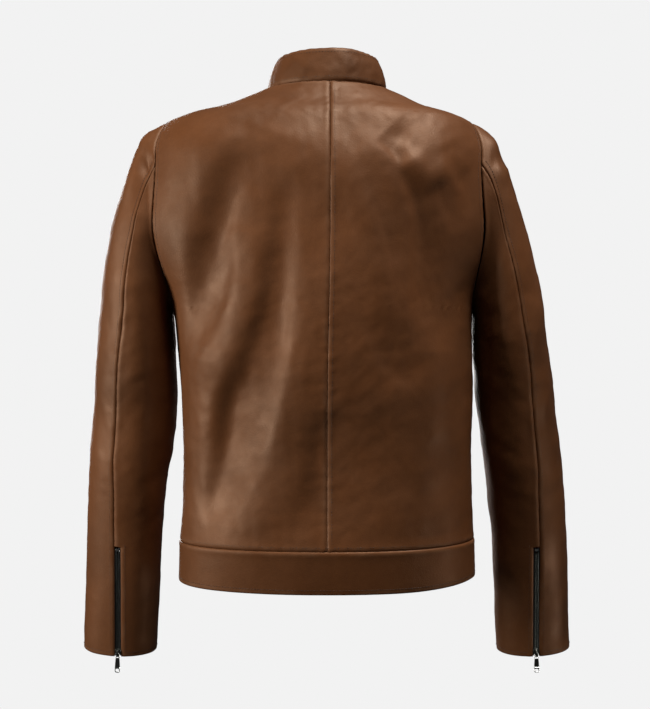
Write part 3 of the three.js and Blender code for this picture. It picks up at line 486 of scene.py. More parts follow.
def collar_skin(angle, height, inset=0.0, depth=1.0):
    p, n = collar_face(angle, height), collar_normals(angle, height)
    lift = along_folds(p, COLLAR_FOLDS) * np.clip(n[..., 1], 0, 1) + 0.25 * crumple(p, FINE_WAVES)
    lift += 0.5 * crumple(p, SLEEVE_WAVES)
    calm = np.clip(height / 0.2, 0, 1) * np.where(n[..., 1] < 0, 0.3, 1)
    return p + n * (lift * calm * depth - inset)[..., None], n


# ---- Meshes -------------------------------------------------------------------------------------------


def add_mesh(name, points, faces, material, attributes=None, smooth_faces=True):
    """A mesh object from points in the cutter's frame."""
    mesh = bpy.data.meshes.new(name)
    mesh.from_pydata(row_frame(points).tolist(), [], [tuple(f) for f in faces])
    mesh.validate()
    if smooth_faces:
        mesh.shade_smooth()
    for key, values in (attributes or {}).items():
        layer = mesh.attributes.new(key, "FLOAT", "POINT")
        layer.data.foreach_set("value", np.asarray(values, np.float32))
    mesh.materials.append(material)
    made = bpy.data.objects.new(name, mesh)
    bpy.context.scene.collection.objects.link(made)
    return made


def shell_faces(rows, columns, ring=False):
    """The quads of a closed shell between two grids of points."""
    last = columns if ring else columns - 1
    r, c = np.meshgrid(np.arange(rows - 1), np.arange(last), indexing="ij")
    next_c = (c + 1) % columns
    at = lambda layer, rr, cc: layer * rows * columns + rr * columns + cc
    outer = np.stack([at(0, r, c), at(0, r, next_c), at(0, r + 1, next_c), at(0, r + 1, c)], -1)
    inner = np.stack([at(1, r, c), at(1, r + 1, c), at(1, r + 1, next_c), at(1, r, next_c)], -1)
    k = np.arange(last)
    after = (k + 1) % columns
    low = np.stack([at(0, 0, after), at(0, 0, k), at(1, 0, k), at(1, 0, after)], -1)
    top = rows - 1
    high = np.stack([at(0, top, k), at(0, top, after), at(1, top, after), at(1, top, k)], -1)
    parts = [outer.reshape(-1, 4), inner.reshape(-1, 4), low, high]
    if not ring:
        j, end = np.arange(rows - 1), columns - 1
        parts.append(np.stack([at(0, j, 0), at(0, j + 1, 0), at(1, j + 1, 0), at(1, j, 0)], -1))
        parts.append(np.stack([at(0, j + 1, end), at(0, j, end), at(1, j, end), at(1, j + 1, end)], -1))
    return np.concatenate(parts)


def spaced(length, step):
    """Shares of a length from 0 to 1: close together at both ends, where an edge rolls over, then even."""
    edge = np.array([0, 0.5, 1.1, 1.9, 3.0, 4.6, 6.8])
    if length < 4 * edge[-1]:
        edge = edge * length / (4 * edge[-1])
    middle = np.linspace(edge[-1], length - edge[-1], max(3, int((length - 2 * edge[-1]) / step)))
    return np.concatenate([edge[:-1], middle, length - edge[:-1][::-1]]) / length


def edge_distances(p, ring=False):
    """For each point of a grid, its distance to each edge, and the distance along it."""
    steps_across = np.linalg.norm(np.diff(p, axis=1), axis=2)
    steps_along = np.linalg.norm(np.diff(p, axis=0), axis=2)
    across = np.concatenate([np.zeros((len(p), 1)), np.cumsum(steps_across, 1)], 1)
    along = np.concatenate([np.zeros((1, p.shape[1])), np.cumsum(steps_along, 0)], 0)
    sides = [] if ring else [(across, along), (across[:, -1:] - across, along + 37)]
    return sides + [(along, across + 71), (along[-1:] - along, across + 113)]


def rolled(d, depth, reach=1.0):
    """The profile of a seam's edge: it rolls under, and the leather beside it puffs up a little."""
    return -depth * np.exp(-((d / reach) ** 1.2)) + 0.4 * np.exp(-(((d - 4.4) / 2.4) ** 2))


def leather_panel(name, skin, rows, edges, across_mm, material, thickness=LEATHER, inset=0.0, roll=1.05,
                  step=None, mirror=False, ring=False, hem_low=False, hem_high=False, depth=1.0):
    """A panel of leather cut from a skin, with rolled and puckered edges."""
    step = step or bpy.context.scene.jacket_sizes.mesh_step * MM
    shares = np.linspace(0, 1, max(8, int(across_mm / step)) + 1)[:-1] if ring else spaced(across_mm, step)
    rows = np.asarray(rows, float)
    first, last = edges(rows)
    first, last = np.broadcast_to(first, rows.shape), np.broadcast_to(last, rows.shape)
    angles = first[:, None] + (last - first)[:, None] * shares[None, :]
    grid_rows = np.broadcast_to(rows[:, None], angles.shape)
    outer, n = skin(angles, grid_rows, inset, depth)
    inner = skin(angles, grid_rows, inset + thickness, depth)[0]
    lift, wear_and_highlight, tuck = np.zeros(angles.shape), np.zeros(angles.shape), np.zeros(angles.shape)
    distances = edge_distances(outer, ring)
    turned = {len(distances) - 2: hem_low, len(distances) - 1: hem_high}
    for i, (d, along) in enumerate(distances):
        if turned.get(i):
            lift += -0.8 * thickness * np.clip(1 - d / 1.6, 0, 1) ** 2
            tuck += 0.15 * thickness * np.clip(1 - d / 1.6, 0, 1) ** 2
        else:
            lift += rolled(d, min(roll, thickness * 0.88))
            pucker = np.sin(2 * np.pi * along / 12.5 + 1.9 * np.sin(along / 31.0)) * np.sin(along / 57.0)
            lift += 0.32 * pucker * np.exp(-d / 6.5)
        # Paler colour beside each edge, on the puffed ridge: partly rub wear, partly a painted highlight.
        wear_and_highlight += 0.8 * np.exp(-(((d - 3.2) / 2.2) ** 2))
    outer = outer + n * lift[..., None]
    inner = inner + n * tuck[..., None]
    points = np.concatenate([outer.reshape(-1, 3), inner.reshape(-1, 3)])
    worn = np.clip(np.concatenate([wear_and_highlight.ravel(), wear_and_highlight.ravel()]), 0, 1)
    faces = shell_faces(len(rows), len(shares), ring)
    if mirror:
        points = points * np.array([-1.0, 1, 1])
    if solid_volume(points, faces) < 0:
        faces = faces[:, ::-1]
    return add_mesh(name, twist(points), faces, material, {"wear_and_highlight": worn})


def solid_volume(points, faces):
    a, b, c, d = (points[faces[:, i]] for i in range(4))
    return float(np.einsum("ij,ij->", a, np.cross(b, c)) + np.einsum("ij,ij->", a, np.cross(c, d))) / 6


def join_solids(solids):
    """One list of points and faces from many."""
    points, faces, count = [], [], 0
    for p, f in solids:
        points.append(p)
        faces += [tuple(int(i) + count for i in face) for face in f]
        count += len(p)
    return np.concatenate(points), faces


def ring_loft(sections, closed_ends=True):
    """A solid through closed sections, each a list of as many points."""
    sections = [np.asarray(s, float) for s in sections]
    n = len(sections[0])
    faces = []
    for k in range(len(sections) - 1):
        for i in range(n):
            j = (i + 1) % n
            faces.append((k * n + i, k * n + j, (k + 1) * n + j, (k + 1) * n + i))
    if closed_ends:
        faces.append(tuple(range(n))[::-1])
        faces.append(tuple((len(sections) - 1) * n + i for i in range(n)))
    return np.concatenate(sections), faces


def wire(path, radius, sides=10, closed=False):
    """A round wire along a path."""
    path = np.asarray(path, float)
    count = len(path)
    before = path[(np.arange(count) - 1) % count] if closed else np.vstack([path[:1], path[:-1]])
    after = path[(np.arange(count) + 1) % count] if closed else np.vstack([path[1:], path[-1:]])
    along = unit(after - before)
    spread = np.ptp(path, axis=0)
    flat = np.eye(3)[int(np.argmin(spread))]
    side = unit(np.cross(along, flat))
    up = np.cross(side, along)
    turn = np.linspace(0, 2 * np.pi, sides, endpoint=False)
    round_ = side[:, None] * np.cos(turn)[None, :, None] + up[:, None] * np.sin(turn)[None, :, None]
    sections = list(path[:, None] + radius * round_)
    if not closed:
        return ring_loft(sections)
    points, faces = ring_loft(sections, closed_ends=False)
    last = (count - 1) * sides
    faces += [(last + i, last + (i + 1) % sides, (i + 1) % sides, i) for i in range(sides)]
    return points, faces


def rounded_slab(outline, low, high, bevel):
    """A solid with this outline between two heights along z, with bevelled edges."""
    outline = np.asarray(outline, float)
    middle = outline.mean(0)
    reach = np.abs(outline - middle).max(0)
    inner = middle + (outline - middle) * (1 - bevel / np.maximum(reach, 1e-6))
    flat = lambda pts, z: np.column_stack([pts, np.full(len(pts), z)])
    return ring_loft([
        flat(inner, low), flat(outline, low + bevel), flat(outline, high - bevel), flat(inner, high),
    ])


class Local:
    """A zip's own frame: x across it, y up it, z out of the leather. Origin and axes are in the row frame."""

    def __init__(self, origin, across, along, out=None):
        self.origin = np.asarray(origin, float) * MM + LOOP
        self.y = unit(np.asarray(along, float))
        across = np.asarray(across, float)
        self.x = unit(across - self.y * (across @ self.y))
        if out is not None and np.cross(self.x, self.y) @ np.asarray(out, float) < 0:
            self.x = -self.x
        self.z = np.cross(self.x, self.y)

    def place(self, points):
        return self.origin + points[:, :1] * self.x + points[:, 1:2] * self.y + points[:, 2:3] * self.z


def add_local(name, local, solids, material, smooth_faces=False):
    points, faces = join_solids(solids)
    made = add_mesh(name, local.place(points), faces, material, smooth_faces=smooth_faces)
    if smooth_faces:
        return made
    made.data.shade_smooth()
    sharp = made.modifiers.new("Crisp edges", "EDGE_SPLIT")
    sharp.split_angle = math.radians(38)
    return made


# ---- Materials ----------------------------------------------------------------------------------------


class Nodes:
    """A short way to build a material's nodes."""

    def __init__(self, name):
        self.material = bpy.data.materials.new(name)
        self.material.use_nodes = True
        self.tree = self.material.node_tree
        self.shader = self.tree.nodes["Principled BSDF"]
        self.place = self.add("ShaderNodeTexCoord").outputs["Object"]

    def add(self, kind, **values):
        node = self.tree.nodes.new(kind)
        for key, value in values.items():
            if key in node.inputs:
                node.inputs[key].default_value = value
            else:
                setattr(node, key, value)
        return node

    def link(self, a, b):
        self.tree.links.new(a, b)

    def noise(self, scale, detail=3.0, rough=0.5):
        node = self.add("ShaderNodeTexNoise", Scale=scale, Detail=detail, Roughness=rough)
        self.link(self.place, node.inputs["Vector"])
        return node.outputs["Fac"]

    def ramp(self, fac, stops):
        node = self.add("ShaderNodeValToRGB")
        ramp = node.color_ramp
        while len(ramp.elements) < len(stops):
            ramp.elements.new(0.5)
        for element, (position, colour) in zip(ramp.elements, stops):
            element.position = position
            element.color = (*colour, 1.0)
        self.link(fac, node.inputs["Fac"])
        return node.outputs["Color"]

    def mix(self, fac, a, b, blend="MIX"):
        node = self.add("ShaderNodeMix", data_type="RGBA", blend_type=blend)
        if isinstance(fac, float):
            node.inputs[0].default_value = fac
        else:
            self.link(fac, node.inputs[0])
        for socket, value in ((node.inputs[6], a), (node.inputs[7], b)):
            if isinstance(value, tuple):
                socket.default_value = (*value, 1.0)
            else:
                self.link(value, socket)
        return node.outputs[2]

    def scaled(self, value, low, high, out_low, out_high):
        node = self.add("ShaderNodeMapRange")
        for i, number in enumerate((low, high, out_low, out_high), 1):
            node.inputs[i].default_value = number
        self.link(value, node.inputs[0])
        return node.outputs[0]

    def bump(self, height, distance, strength=1.0, under=None):
        node = self.add("ShaderNodeBump", Strength=strength, Distance=distance)
        self.link(height, node.inputs["Height"])
        if under:
            self.link(under, node.inputs["Normal"])
        return node.outputs["Normal"]

    def finish(self, colour, roughness, normal=None, **sockets):
        self.link(colour, self.shader.inputs["Base Color"])
        if isinstance(roughness, float):
            self.shader.inputs["Roughness"].default_value = roughness
        else:
            self.link(roughness, self.shader.inputs["Roughness"])
        if normal:
            self.link(normal, self.shader.inputs["Normal"])
        for key, value in sockets.items():
            self.shader.inputs[key.replace("_", " ")].default_value = value
        return self.material


def shade(colour, share):
    return tuple(min(1.0, c * share) for c in colour)


def cowhide(name, colour, worn):
    """Waxed cowhide: pebbled grain, soft mottling, and paler beside the edges, partly as rub wear and partly as a
    painted highlight.
    """
    n = Nodes(name)
    tones = [(0.3, shade(colour, 0.72)), (0.5, colour), (0.72, shade(colour, 1.22))]
    cloud = n.ramp(n.noise(7.0, 5.0, 0.55), tones)
    flecks = n.ramp(n.noise(160.0, 4.0, 0.6), [(0.3, (0.82, 0.8, 0.78)), (0.7, (1.0, 1.0, 1.0))])
    base = n.mix(0.55, cloud, flecks, "MULTIPLY")
    # Paler colour from the edge mask: partly rub wear, partly a painted highlight on the puffed leather beside the
    # seams.
    rub_and_highlight = n.add("ShaderNodeAttribute", attribute_name="wear_and_highlight").outputs["Fac"]
    patchy = n.add("ShaderNodeMath", operation="MULTIPLY")
    n.link(rub_and_highlight, patchy.inputs[0])
    n.link(n.scaled(n.noise(38.0, 4.0), 0.38, 0.66, 0.0, 0.5), patchy.inputs[1])
    base = n.mix(patchy.outputs[0], base, worn)
    cells = n.add("ShaderNodeTexVoronoi", Scale=760.0, feature="SMOOTH_F1", Smoothness=0.35)
    n.link(n.place, cells.inputs["Vector"])
    grain = n.bump(cells.outputs["Distance"], 0.00016, 0.55)
    lines = n.add("ShaderNodeTexVoronoi", Scale=210.0, feature="DISTANCE_TO_EDGE")
    n.link(n.place, lines.inputs["Vector"])
    crease = n.bump(n.scaled(lines.outputs["Distance"], 0.0, 0.12, 0.0, 1.0), 0.00010, 0.25, grain)
    normal = n.bump(n.noise(70.0, 5.0, 0.6), 0.0012, 0.16, crease)
    rough = n.scaled(n.noise(26.0, 4.0), 0.3, 0.7, 0.48, 0.62)
    return n.finish(base, rough, normal, Specular_IOR_Level=0.5, Specular_Tint=(1.0, 0.64, 0.4, 1.0))


def woven(name, colour, pitch, roughness, sheen=0.2, depth=0.00012, tint=0.6):
    """Cloth: two sets of threads at right angles, of this pitch in metres."""
    n = Nodes(name)
    across = n.add("ShaderNodeTexWave", Scale=0.16 / pitch, wave_type="BANDS", bands_direction="DIAGONAL")
    up = n.add("ShaderNodeTexWave", Scale=0.16 / pitch, wave_type="BANDS", bands_direction="Z")
    n.link(n.place, across.inputs["Vector"])
    n.link(n.place, up.inputs["Vector"])
    both = n.mix(0.5, across.outputs["Color"], up.outputs["Color"], "MULTIPLY")
    base = n.mix(n.scaled(both, 0.0, 1.0, 0.0, tint), colour, shade(colour, 2.6))
    soft = n.ramp(n.noise(30.0, 4.0), [(0.3, (0.78, 0.78, 0.78)), (0.7, (1.0, 1.0, 1.0))])
    base = n.mix(0.6, base, soft, "MULTIPLY")
    normal = n.bump(both, depth, 0.7)
    return n.finish(base, roughness, normal, Sheen_Weight=sheen)


def plated(name, colour, roughness, scratch=0.35):
    """Plated metal with fine scratches and dull patches."""
    n = Nodes(name)
    base = n.ramp(n.noise(220.0, 5.0), [(0.3, shade(colour, 0.7)), (0.6, colour), (0.8, shade(colour, 1.15))])
    rough = n.scaled(n.noise(900.0, 4.0), 0.3, 0.7, roughness * 0.8, roughness * 1.4)
    normal = n.bump(n.noise(1600.0, 3.0), 0.00004, scratch)
    return n.finish(base, rough, normal, Metallic=1.0)


def moulded(name, colour, roughness):
    """Moulded or waxed small pieces, such as a pull's insert or thread."""
    n = Nodes(name)
    base = n.ramp(n.noise(500.0, 3.0), [(0.3, shade(colour, 0.7)), (0.7, shade(colour, 1.4))])
    normal = n.bump(n.noise(2200.0, 3.0), 0.00006, 0.4)
    return n.finish(base, roughness, normal)


def make_materials():
    c = bpy.context.scene.jacket_colours
    return {
        "leather": cowhide("Brown cowhide", tuple(c.leather), tuple(c.rubbed_and_highlight)),
        "lining": woven("Satin twill lining", tuple(c.lining), 0.0009, 0.42, 0.3),
        "zip_tape": woven("Woven zip tape", tuple(c.tape), 0.0011, 0.8, 0.2, 0.0002),
        "thread": moulded("Waxed thread", tuple(c.thread), 0.55),
        "gunmetal": plated("Dark plated metal", tuple(c.gunmetal), 0.36),
        "nickel": plated("Nickel plate", tuple(c.nickel), 0.2),
        "pull_insert": moulded("Black pull insert", tuple(c.insert), 0.42),
    }


MATERIALS = {}


def look(name):
    if not MATERIALS:
        MATERIALS.update(make_materials())
    return MATERIALS[name]


def settle(piece, body, slot, *nodes):
    """The piece rides on a body and stands for these CAD nodes, which are hidden; slot is not used."""
    if body:
        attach(piece, body)
    if nodes:
        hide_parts(*nodes)
    return piece


def bend_with_sleeve(piece):
    """Bakes the piece's placement into its mesh; nothing bends it."""
    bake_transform(piece)
    return piece


# ---- Where each panel ends ----------------------------------------------------------------------------


def armhole_edge(row):
    """The angle from the side seam to the armhole's edge."""
    u = (row - (UNDERARM_Z + SHOULDER_Z) / 2) / (ARMHOLE_HEIGHT / 2)
    return ARMHOLE_HALF_ANGLE * np.sqrt(np.clip(1 - u * u, 0, 1))


def gap_angle(row, gap):
    return np.degrees(gap / half_width(row))


def slit_angle(row, half):
    return np.degrees(half / arm_curves[3](np.maximum(row, SLEEVE_HEAD)))


def body_rows(low, high, step):
    """Rows of a body panel, close together where an edge rolls and where the armhole's edge turns."""
    below = low + (UNDERARM_Z - low) * spaced(UNDERARM_Z - low, step)[: -6]
    turns = np.linspace(180, 0, max(20, int(ARMHOLE_HEIGHT / step * 1.1)))
    armhole = (UNDERARM_Z + SHOULDER_Z) / 2 + ARMHOLE_HEIGHT / 2 * np.cos(np.radians(turns))
    above = SHOULDER_Z + (high - SHOULDER_Z) * spaced(high - SHOULDER_Z, step)[6:]
    rows = np.concatenate([below, armhole, above])
    return rows[np.concatenate([[True], np.diff(rows) > 0.05])]


def back_edges(rows):
    side = np.maximum(armhole_edge(rows), gap_angle(rows, 0.12))
    return side, 90 - np.degrees(0.12 / back_depth(rows))


def front_edges(rows):
    return front_angle(SLIT_HALF - 0.4, rows), -np.maximum(armhole_edge(rows), gap_angle(rows, 0.12))


def outer_sleeve_edges(rows):
    return FRONT_SEAM + slit_angle(rows, 0.12), back_angle(rows) - slit_angle(rows, SLIT_HALF - 0.45)


def under_sleeve_edges(rows):
    slit = np.where(rows > ZIP_TOP_ROW + 0.5, SLIT_HALF - 0.45, 0.65 - SLIT_HALF)
    return back_angle(rows) + slit_angle(rows, slit), 360 + FRONT_SEAM - slit_angle(rows, 0.12)


# ---- Stitching ----------------------------------------------------------------------------------------


def stitches(skin, angles, rows, mirror=False, lift=0.12):
    """Stitches along a line on a skin, as points and faces."""
    sizes = bpy.context.scene.jacket_sizes
    length, gap, thick = (v * MM for v in (sizes.stitch_length, sizes.stitch_gap, sizes.thread))
    p, n = skin(np.asarray(angles, float), np.asarray(rows, float), 0.0)
    run = np.concatenate([[0], np.cumsum(np.linalg.norm(np.diff(p, axis=0), axis=1))])
    count = int(run[-1] / (length + gap))
    if count < 1:
        return np.zeros((0, 3)), []
    middles = (np.arange(count) + 0.5) * run[-1] / count
    at = lambda s: np.stack([np.interp(s, run, p[:, i]) for i in range(3)], -1)
    centre, normal = at(middles), unit(np.stack([np.interp(middles, run, n[:, i]) for i in range(3)], -1))
    along = unit(at(middles + 0.5) - at(middles - 0.5))
    side = unit(np.cross(normal, along))
    half = length / 2
    profile = [(-half, -0.6, 0.3), (-0.6 * half, 0.75, 1.0), (0.6 * half, 0.75, 1.0), (half, -0.6, 0.3)]
    ring = [(-1, 0), (0, 1), (1, 0), (0, -1)]
    points = []
    for reach, height, width in profile:
        for across, up in ring:
            points.append(
                centre + along * reach + side * (across * width * thick / 2)
                + normal * (lift + thick / 2 * (height - 0.2 + up * width))
            )
    points = np.stack(points, 1).reshape(-1, 3)
    if mirror:
        points = points * np.array([-1.0, 1, 1])
    base = []
    for k in range(3):
        for i in range(4):
            j = (i + 1) % 4
            base.append((4 * k + i, 4 * k + j, 4 * k + 4 + j, 4 * k + 4 + i))
    base += [(3, 2, 1, 0), (12, 13, 14, 15)]
    faces = (np.array(base)[None] + 16 * np.arange(count)[:, None, None]).reshape(-1, 4)
    if solid_volume(points[:16], np.array(base)) < 0:
        faces = faces[:, ::-1]
    return points, faces.tolist()


def add_stitching(name, lines):
    points, faces = join_solids([line for line in lines if len(line[0])])
    return add_mesh(name, twist(points), faces, look("thread"), smooth_faces=True)


# ---- Settings -----------------------------------------------------------------------------------------


def metres(name, description, default, **more):
    return FloatProperty(
        name=name, description=description, default=default, unit="LENGTH", precision=4, **more,
    )


def colour(name, description, default):
    return FloatVectorProperty(
        name=name, description=description, default=default, size=3, subtype="COLOR", min=0.0, max=1.0
    )


class JacketSizes(bpy.types.PropertyGroup):
    fold_depth: FloatProperty(
        name="Fold depth", description="How deep the folds are, as a share of the pattern's",
        default=1.0, min=0.0, max=2.0, subtype="FACTOR",
    )
    crumple: metres("Crumple", "Height of the soft creases all over", 0.00078)
    fine_crumple: metres("Fine crumple", "Height of the small creases", 0.00022)
    mesh_step: metres("Mesh step", "Distance between the panels' mesh lines", 0.0036, min=0.002)
    stitch_length: metres("Stitch length", "Length of one visible stitch", 0.0029)
    stitch_gap: metres("Stitch gap", "Distance between two stitches", 0.0009)
    thread: metres("Thread", "Thickness of the thread", 0.0005)
    tooth_pitch: metres("Tooth pitch", "Distance from one zip tooth to the next on one side", 0.0024)


class JacketColours(bpy.types.PropertyGroup):
    leather: colour("Leather", "Colour of the hide", (0.125, 0.0425, 0.0135))
    # Paler colour for the rubbed edges, which also serves as a painted highlight on the puffed seams.
    rubbed_and_highlight: colour("Rubbed leather", "Colour where the hide is rubbed", (0.2, 0.098, 0.05))
    thread: colour("Thread", "Colour of the stitching", (0.045, 0.02, 0.009))
    lining: colour("Lining", "Colour of the lining", (0.011, 0.009, 0.008))
    tape: colour("Tape", "Colour of the zips' tape", (0.009, 0.009, 0.008))
    gunmetal: colour("Gunmetal", "Colour of the teeth and sliders", (0.075, 0.078, 0.068))
    nickel: colour("Nickel", "Colour of the pulls and snap", (0.55, 0.55, 0.53))
    insert: colour("Pull insert", "Colour of the pulls' black part", (0.006, 0.006, 0.006))


class JacketStage(bpy.types.PropertyGroup):
    distance: metres("Camera distance", "From the camera to the side seams", 1.6)
    height: metres("Camera height", "Above the hem", 0.2865)
    aside: metres("Camera aside", "To the wearer's left of the centre back", 0.0026)
    lens: FloatProperty(name="Lens", description="Focal length in millimetres", default=63.5, min=10, max=300)
    side: FloatProperty(name="Side light", description="Power in watts", default=23.0, min=0, unit="POWER")
    top: FloatProperty(name="Top light", description="Power in watts", default=132.0, min=0, unit="POWER")
    front: FloatProperty(name="Front light", description="Power in watts", default=75.0, min=0, unit="POWER")
    low: FloatProperty(name="Low light", description="Power in watts", default=26.0, min=0, unit="POWER")
    room: FloatProperty(name="Room light", description="Strength of the light from all round", default=0.045, min=0)
    pale: colour("Backdrop", "Colour of the backdrop and floor", (0.888, 0.888, 0.888))


# ---- Operators ----------------------------------------------------------------------------------------


class JACKET_OT_body(bpy.types.Operator):
    """Cut and shape the back and front panels and the hem band"""

    bl_idname = "jacket.body"
    bl_label = "Body Panels"

    def execute(self, context):
        step = context.scene.jacket_sizes.mesh_step * MM
        rows = body_rows(BAND_HEIGHT + 0.15, NECK_ROW - 0.15, step)
        for side, sign in SIDES:
            mirror = sign < 0
            skin = mirrored_skin(body_skin) if mirror else body_skin
            hide = look("leather")
            back = leather_panel(f"back_leather_{side}", skin, rows, back_edges, 215, hide, mirror=mirror)
            settle(back, "torso", "leather", f"back_panel_{side}")
            front = leather_panel(f"front_leather_{side}", skin, rows, front_edges, 215, hide, mirror=mirror)
            cut_pocket_slot(front, sign)
            settle(front, "torso", "leather", f"front_panel_{side}")
            band = leather_panel(
                f"hem_band_front_leather_{side}", skin, BAND_HEIGHT * spaced(BAND_HEIGHT, step),
                lambda r: (front_angle(SLIT_HALF - 0.4, r), -gap_angle(r, 0.12)), 215, look("leather"),
                thickness=2.6, inset=-1.0, roll=1.6, mirror=mirror, hem_low=True,
            )
            settle(band, "torso", "leather", f"hem_band_front_{side}")
        band = leather_panel(
            "hem_band_back_leather", tucked_body, BAND_HEIGHT * spaced(BAND_HEIGHT, step),
            lambda r: (gap_angle(r, 0.12), 180 - gap_angle(r, 0.12)), 430, look("leather"),
            thickness=2.6, inset=-1.0, roll=1.6, hem_low=True,
        )
        settle(band, "torso", "leather", "hem_band_back")
        return {"FINISHED"}


def mirrored_skin(skin):
    """The skin of the other side, given on the left: its folds are those of the right side."""

    def made(angle, row, inset=0.0, depth=1.0):
        p, n = skin(180 - angle, row, inset, depth)
        flip = np.array([-1.0, 1, 1])
        return p * flip, n * flip

    return made


def pocket_frame(sign):
    side = "left" if sign > 0 else "right"
    swing, slide = "pocket_pull_swing_" + side, "pocket_zip_slide_" + side
    return zip_frame(swing, slide, POCKET_SLIDER_AT, -1.0, (0, -1, 0))


def cut_pocket_slot(panel, sign):
    """The slot that the pocket's zip lies in."""
    local = pocket_frame(sign)
    sides, ends = (-SLIT_HALF, SLIT_HALF), (-1, POCKET_ZIP + 1)
    reach = np.array([[x, y, z] for x in sides for y in ends for z in (-14, 10.0)])
    faces = [(0, 1, 3, 2), (4, 6, 7, 5), (0, 4, 5, 1), (2, 3, 7, 6), (0, 2, 6, 4), (1, 5, 7, 3)]
    tool = add_mesh("slot_tool", local.place(reach), faces, look("leather"), smooth_faces=False)
    cut = panel.modifiers.new("Slot", "BOOLEAN")
    cut.operation = "DIFFERENCE"
    cut.solver = "MANIFOLD"
    cut.object = tool
    seen = bpy.context.evaluated_depsgraph_get()
    made = bpy.data.meshes.new_from_object(panel.evaluated_get(seen))
    panel.modifiers.clear()
    panel.data = made
    bpy.data.objects.remove(tool)


class JACKET_OT_sleeves(bpy.types.Operator):
    """Cut and shape the sleeves and the gussets behind their zips"""

    bl_idname = "jacket.sleeves"
    bl_label = "Sleeves"

    def execute(self, context):
        step = context.scene.jacket_sizes.mesh_step * MM
        upper = -0.5 + (ZIP_TOP_ROW + 0.5) * spaced(ZIP_TOP_ROW + 0.5, step)[:-6]
        lower = ZIP_TOP_ROW + (CUFF_ROW - ZIP_TOP_ROW) * spaced(CUFF_ROW - ZIP_TOP_ROW, step)
        rows = np.concatenate([upper[upper < ZIP_TOP_ROW - 1], lower])
        for side, sign in SIDES:
            skin, mirror = sleeve_skin(side), sign < 0
            outer = leather_panel(
                f"sleeve_outer_leather_{side}", skin, rows, outer_sleeve_edges, 130, look("leather"),
                mirror=mirror, hem_high=True,
            )
            under = leather_panel(
                f"sleeve_under_leather_{side}", skin, rows, under_sleeve_edges, 165, look("leather"),
                mirror=mirror, hem_high=True,
            )
            for piece, node in ((outer, "sleeve_outer"), (under, "sleeve_under")):
                bend_with_sleeve(piece)
                settle(piece, None, "leather", f"{node}_{side}")
            gusset = leather_panel(
                f"gusset_leather_{side}", skin, np.linspace(ZIP_TOP_ROW - 8, CUFF_ROW - 1, 40),
                lambda r: (back_angle(r) - slit_angle(r, 22), back_angle(r) + slit_angle(r, 22)), 44,
                look("leather"), inset=GUSSET_INSET, mirror=mirror, depth=0.0,
            )
            settle(gusset, f"sleeve_{side}", "leather", f"cuff_gusset_{side}")
        return {"FINISHED"}


class JACKET_OT_collar(bpy.types.Operator):
    """Shape the stand collar, its throat tab and the snap"""

    bl_idname = "jacket.collar"
    bl_label = "Collar"

    def execute(self, context):
        reach = float(-body_face(np.array(-90.0), np.array(NECK_ROW))[1])
        at = lambda x: math.degrees(math.asin(x / reach))
        heights = spaced(COLLAR_HEIGHT, 2.6)
        tucked = np.concatenate([[-0.11, -0.05], heights])
        edges = lambda r: (-90 + at(1.8), 270 - at(1.8))
        outer = leather_panel(
            "collar_outer_leather", collar_skin, heights, edges, 480, look("leather"), roll=1.0, step=3.0,
        )
        settle(outer, "torso", "leather", "collar_outer")
        inner = leather_panel(
            "collar_inner_leather", collar_skin, tucked, edges, 480, look("leather"), inset=LEATHER + 0.15,
            thickness=LEATHER + 0.25, roll=0.2, step=4.0,
        )
        settle(inner, "torso", "leather", "collar_inner")
        half = 11 / COLLAR_HEIGHT
        tab_rows = 0.5 - half + 2 * half * spaced(22, 2.0)
        tab = leather_panel(
            "throat_tab_leather", collar_skin, tab_rows, lambda r: tab_edges(r, half, at), 78,
            look("leather"), inset=-3.9, thickness=2.4, roll=1.2, step=2.4, depth=0.0, hem_low=True, hem_high=True,
        )
        settle(tab, "collar_tab", "leather", "collar_tab")
        cap = snap_cap(at(23))
        settle(cap, "collar_tab", "nickel", "collar_snap_cap")
        frame["nodes"]["collar_snap_stud"].data.materials.clear()
        frame["nodes"]["collar_snap_stud"].data.materials.append(look("nickel"))
        return {"FINISHED"}


def tab_edges(rows, half, at):
    """The throat tab: square where it is sewn on, pointed with a rounded tip at the snap."""
    up = np.abs(rows - 0.5) / half
    tip = 34 - 8.5 * up**2.2
    return np.full(rows.shape, -90 - at(40)), -90 + np.array([at(x) for x in tip])


def snap_cap(turn):
    angle, height = np.array(-90.0 + turn), np.array(0.5)
    centre, up = collar_face(angle, height), collar_normals(angle, height)
    side = unit(np.cross(up, np.array([0, 0, 1.0])))
    across = np.cross(up, side)
    profile = [
        (6.5, 4.3), (6.5, 4.8), (6.2, 5.2), (5.5, 5.5), (4.7, 5.55), (4.5, 5.4), (4.2, 5.55), (2.6, 5.68),
        (0.9, 5.7),
    ]
    turns = np.linspace(0, 2 * np.pi, 40, endpoint=False)
    rings = [
        centre + up * h + r * (np.cos(turns)[:, None] * side + np.sin(turns)[:, None] * across) for r, h in profile
    ]
    points, faces = ring_loft(rings)
    return add_mesh("snap_cap", points, faces, look("nickel"))


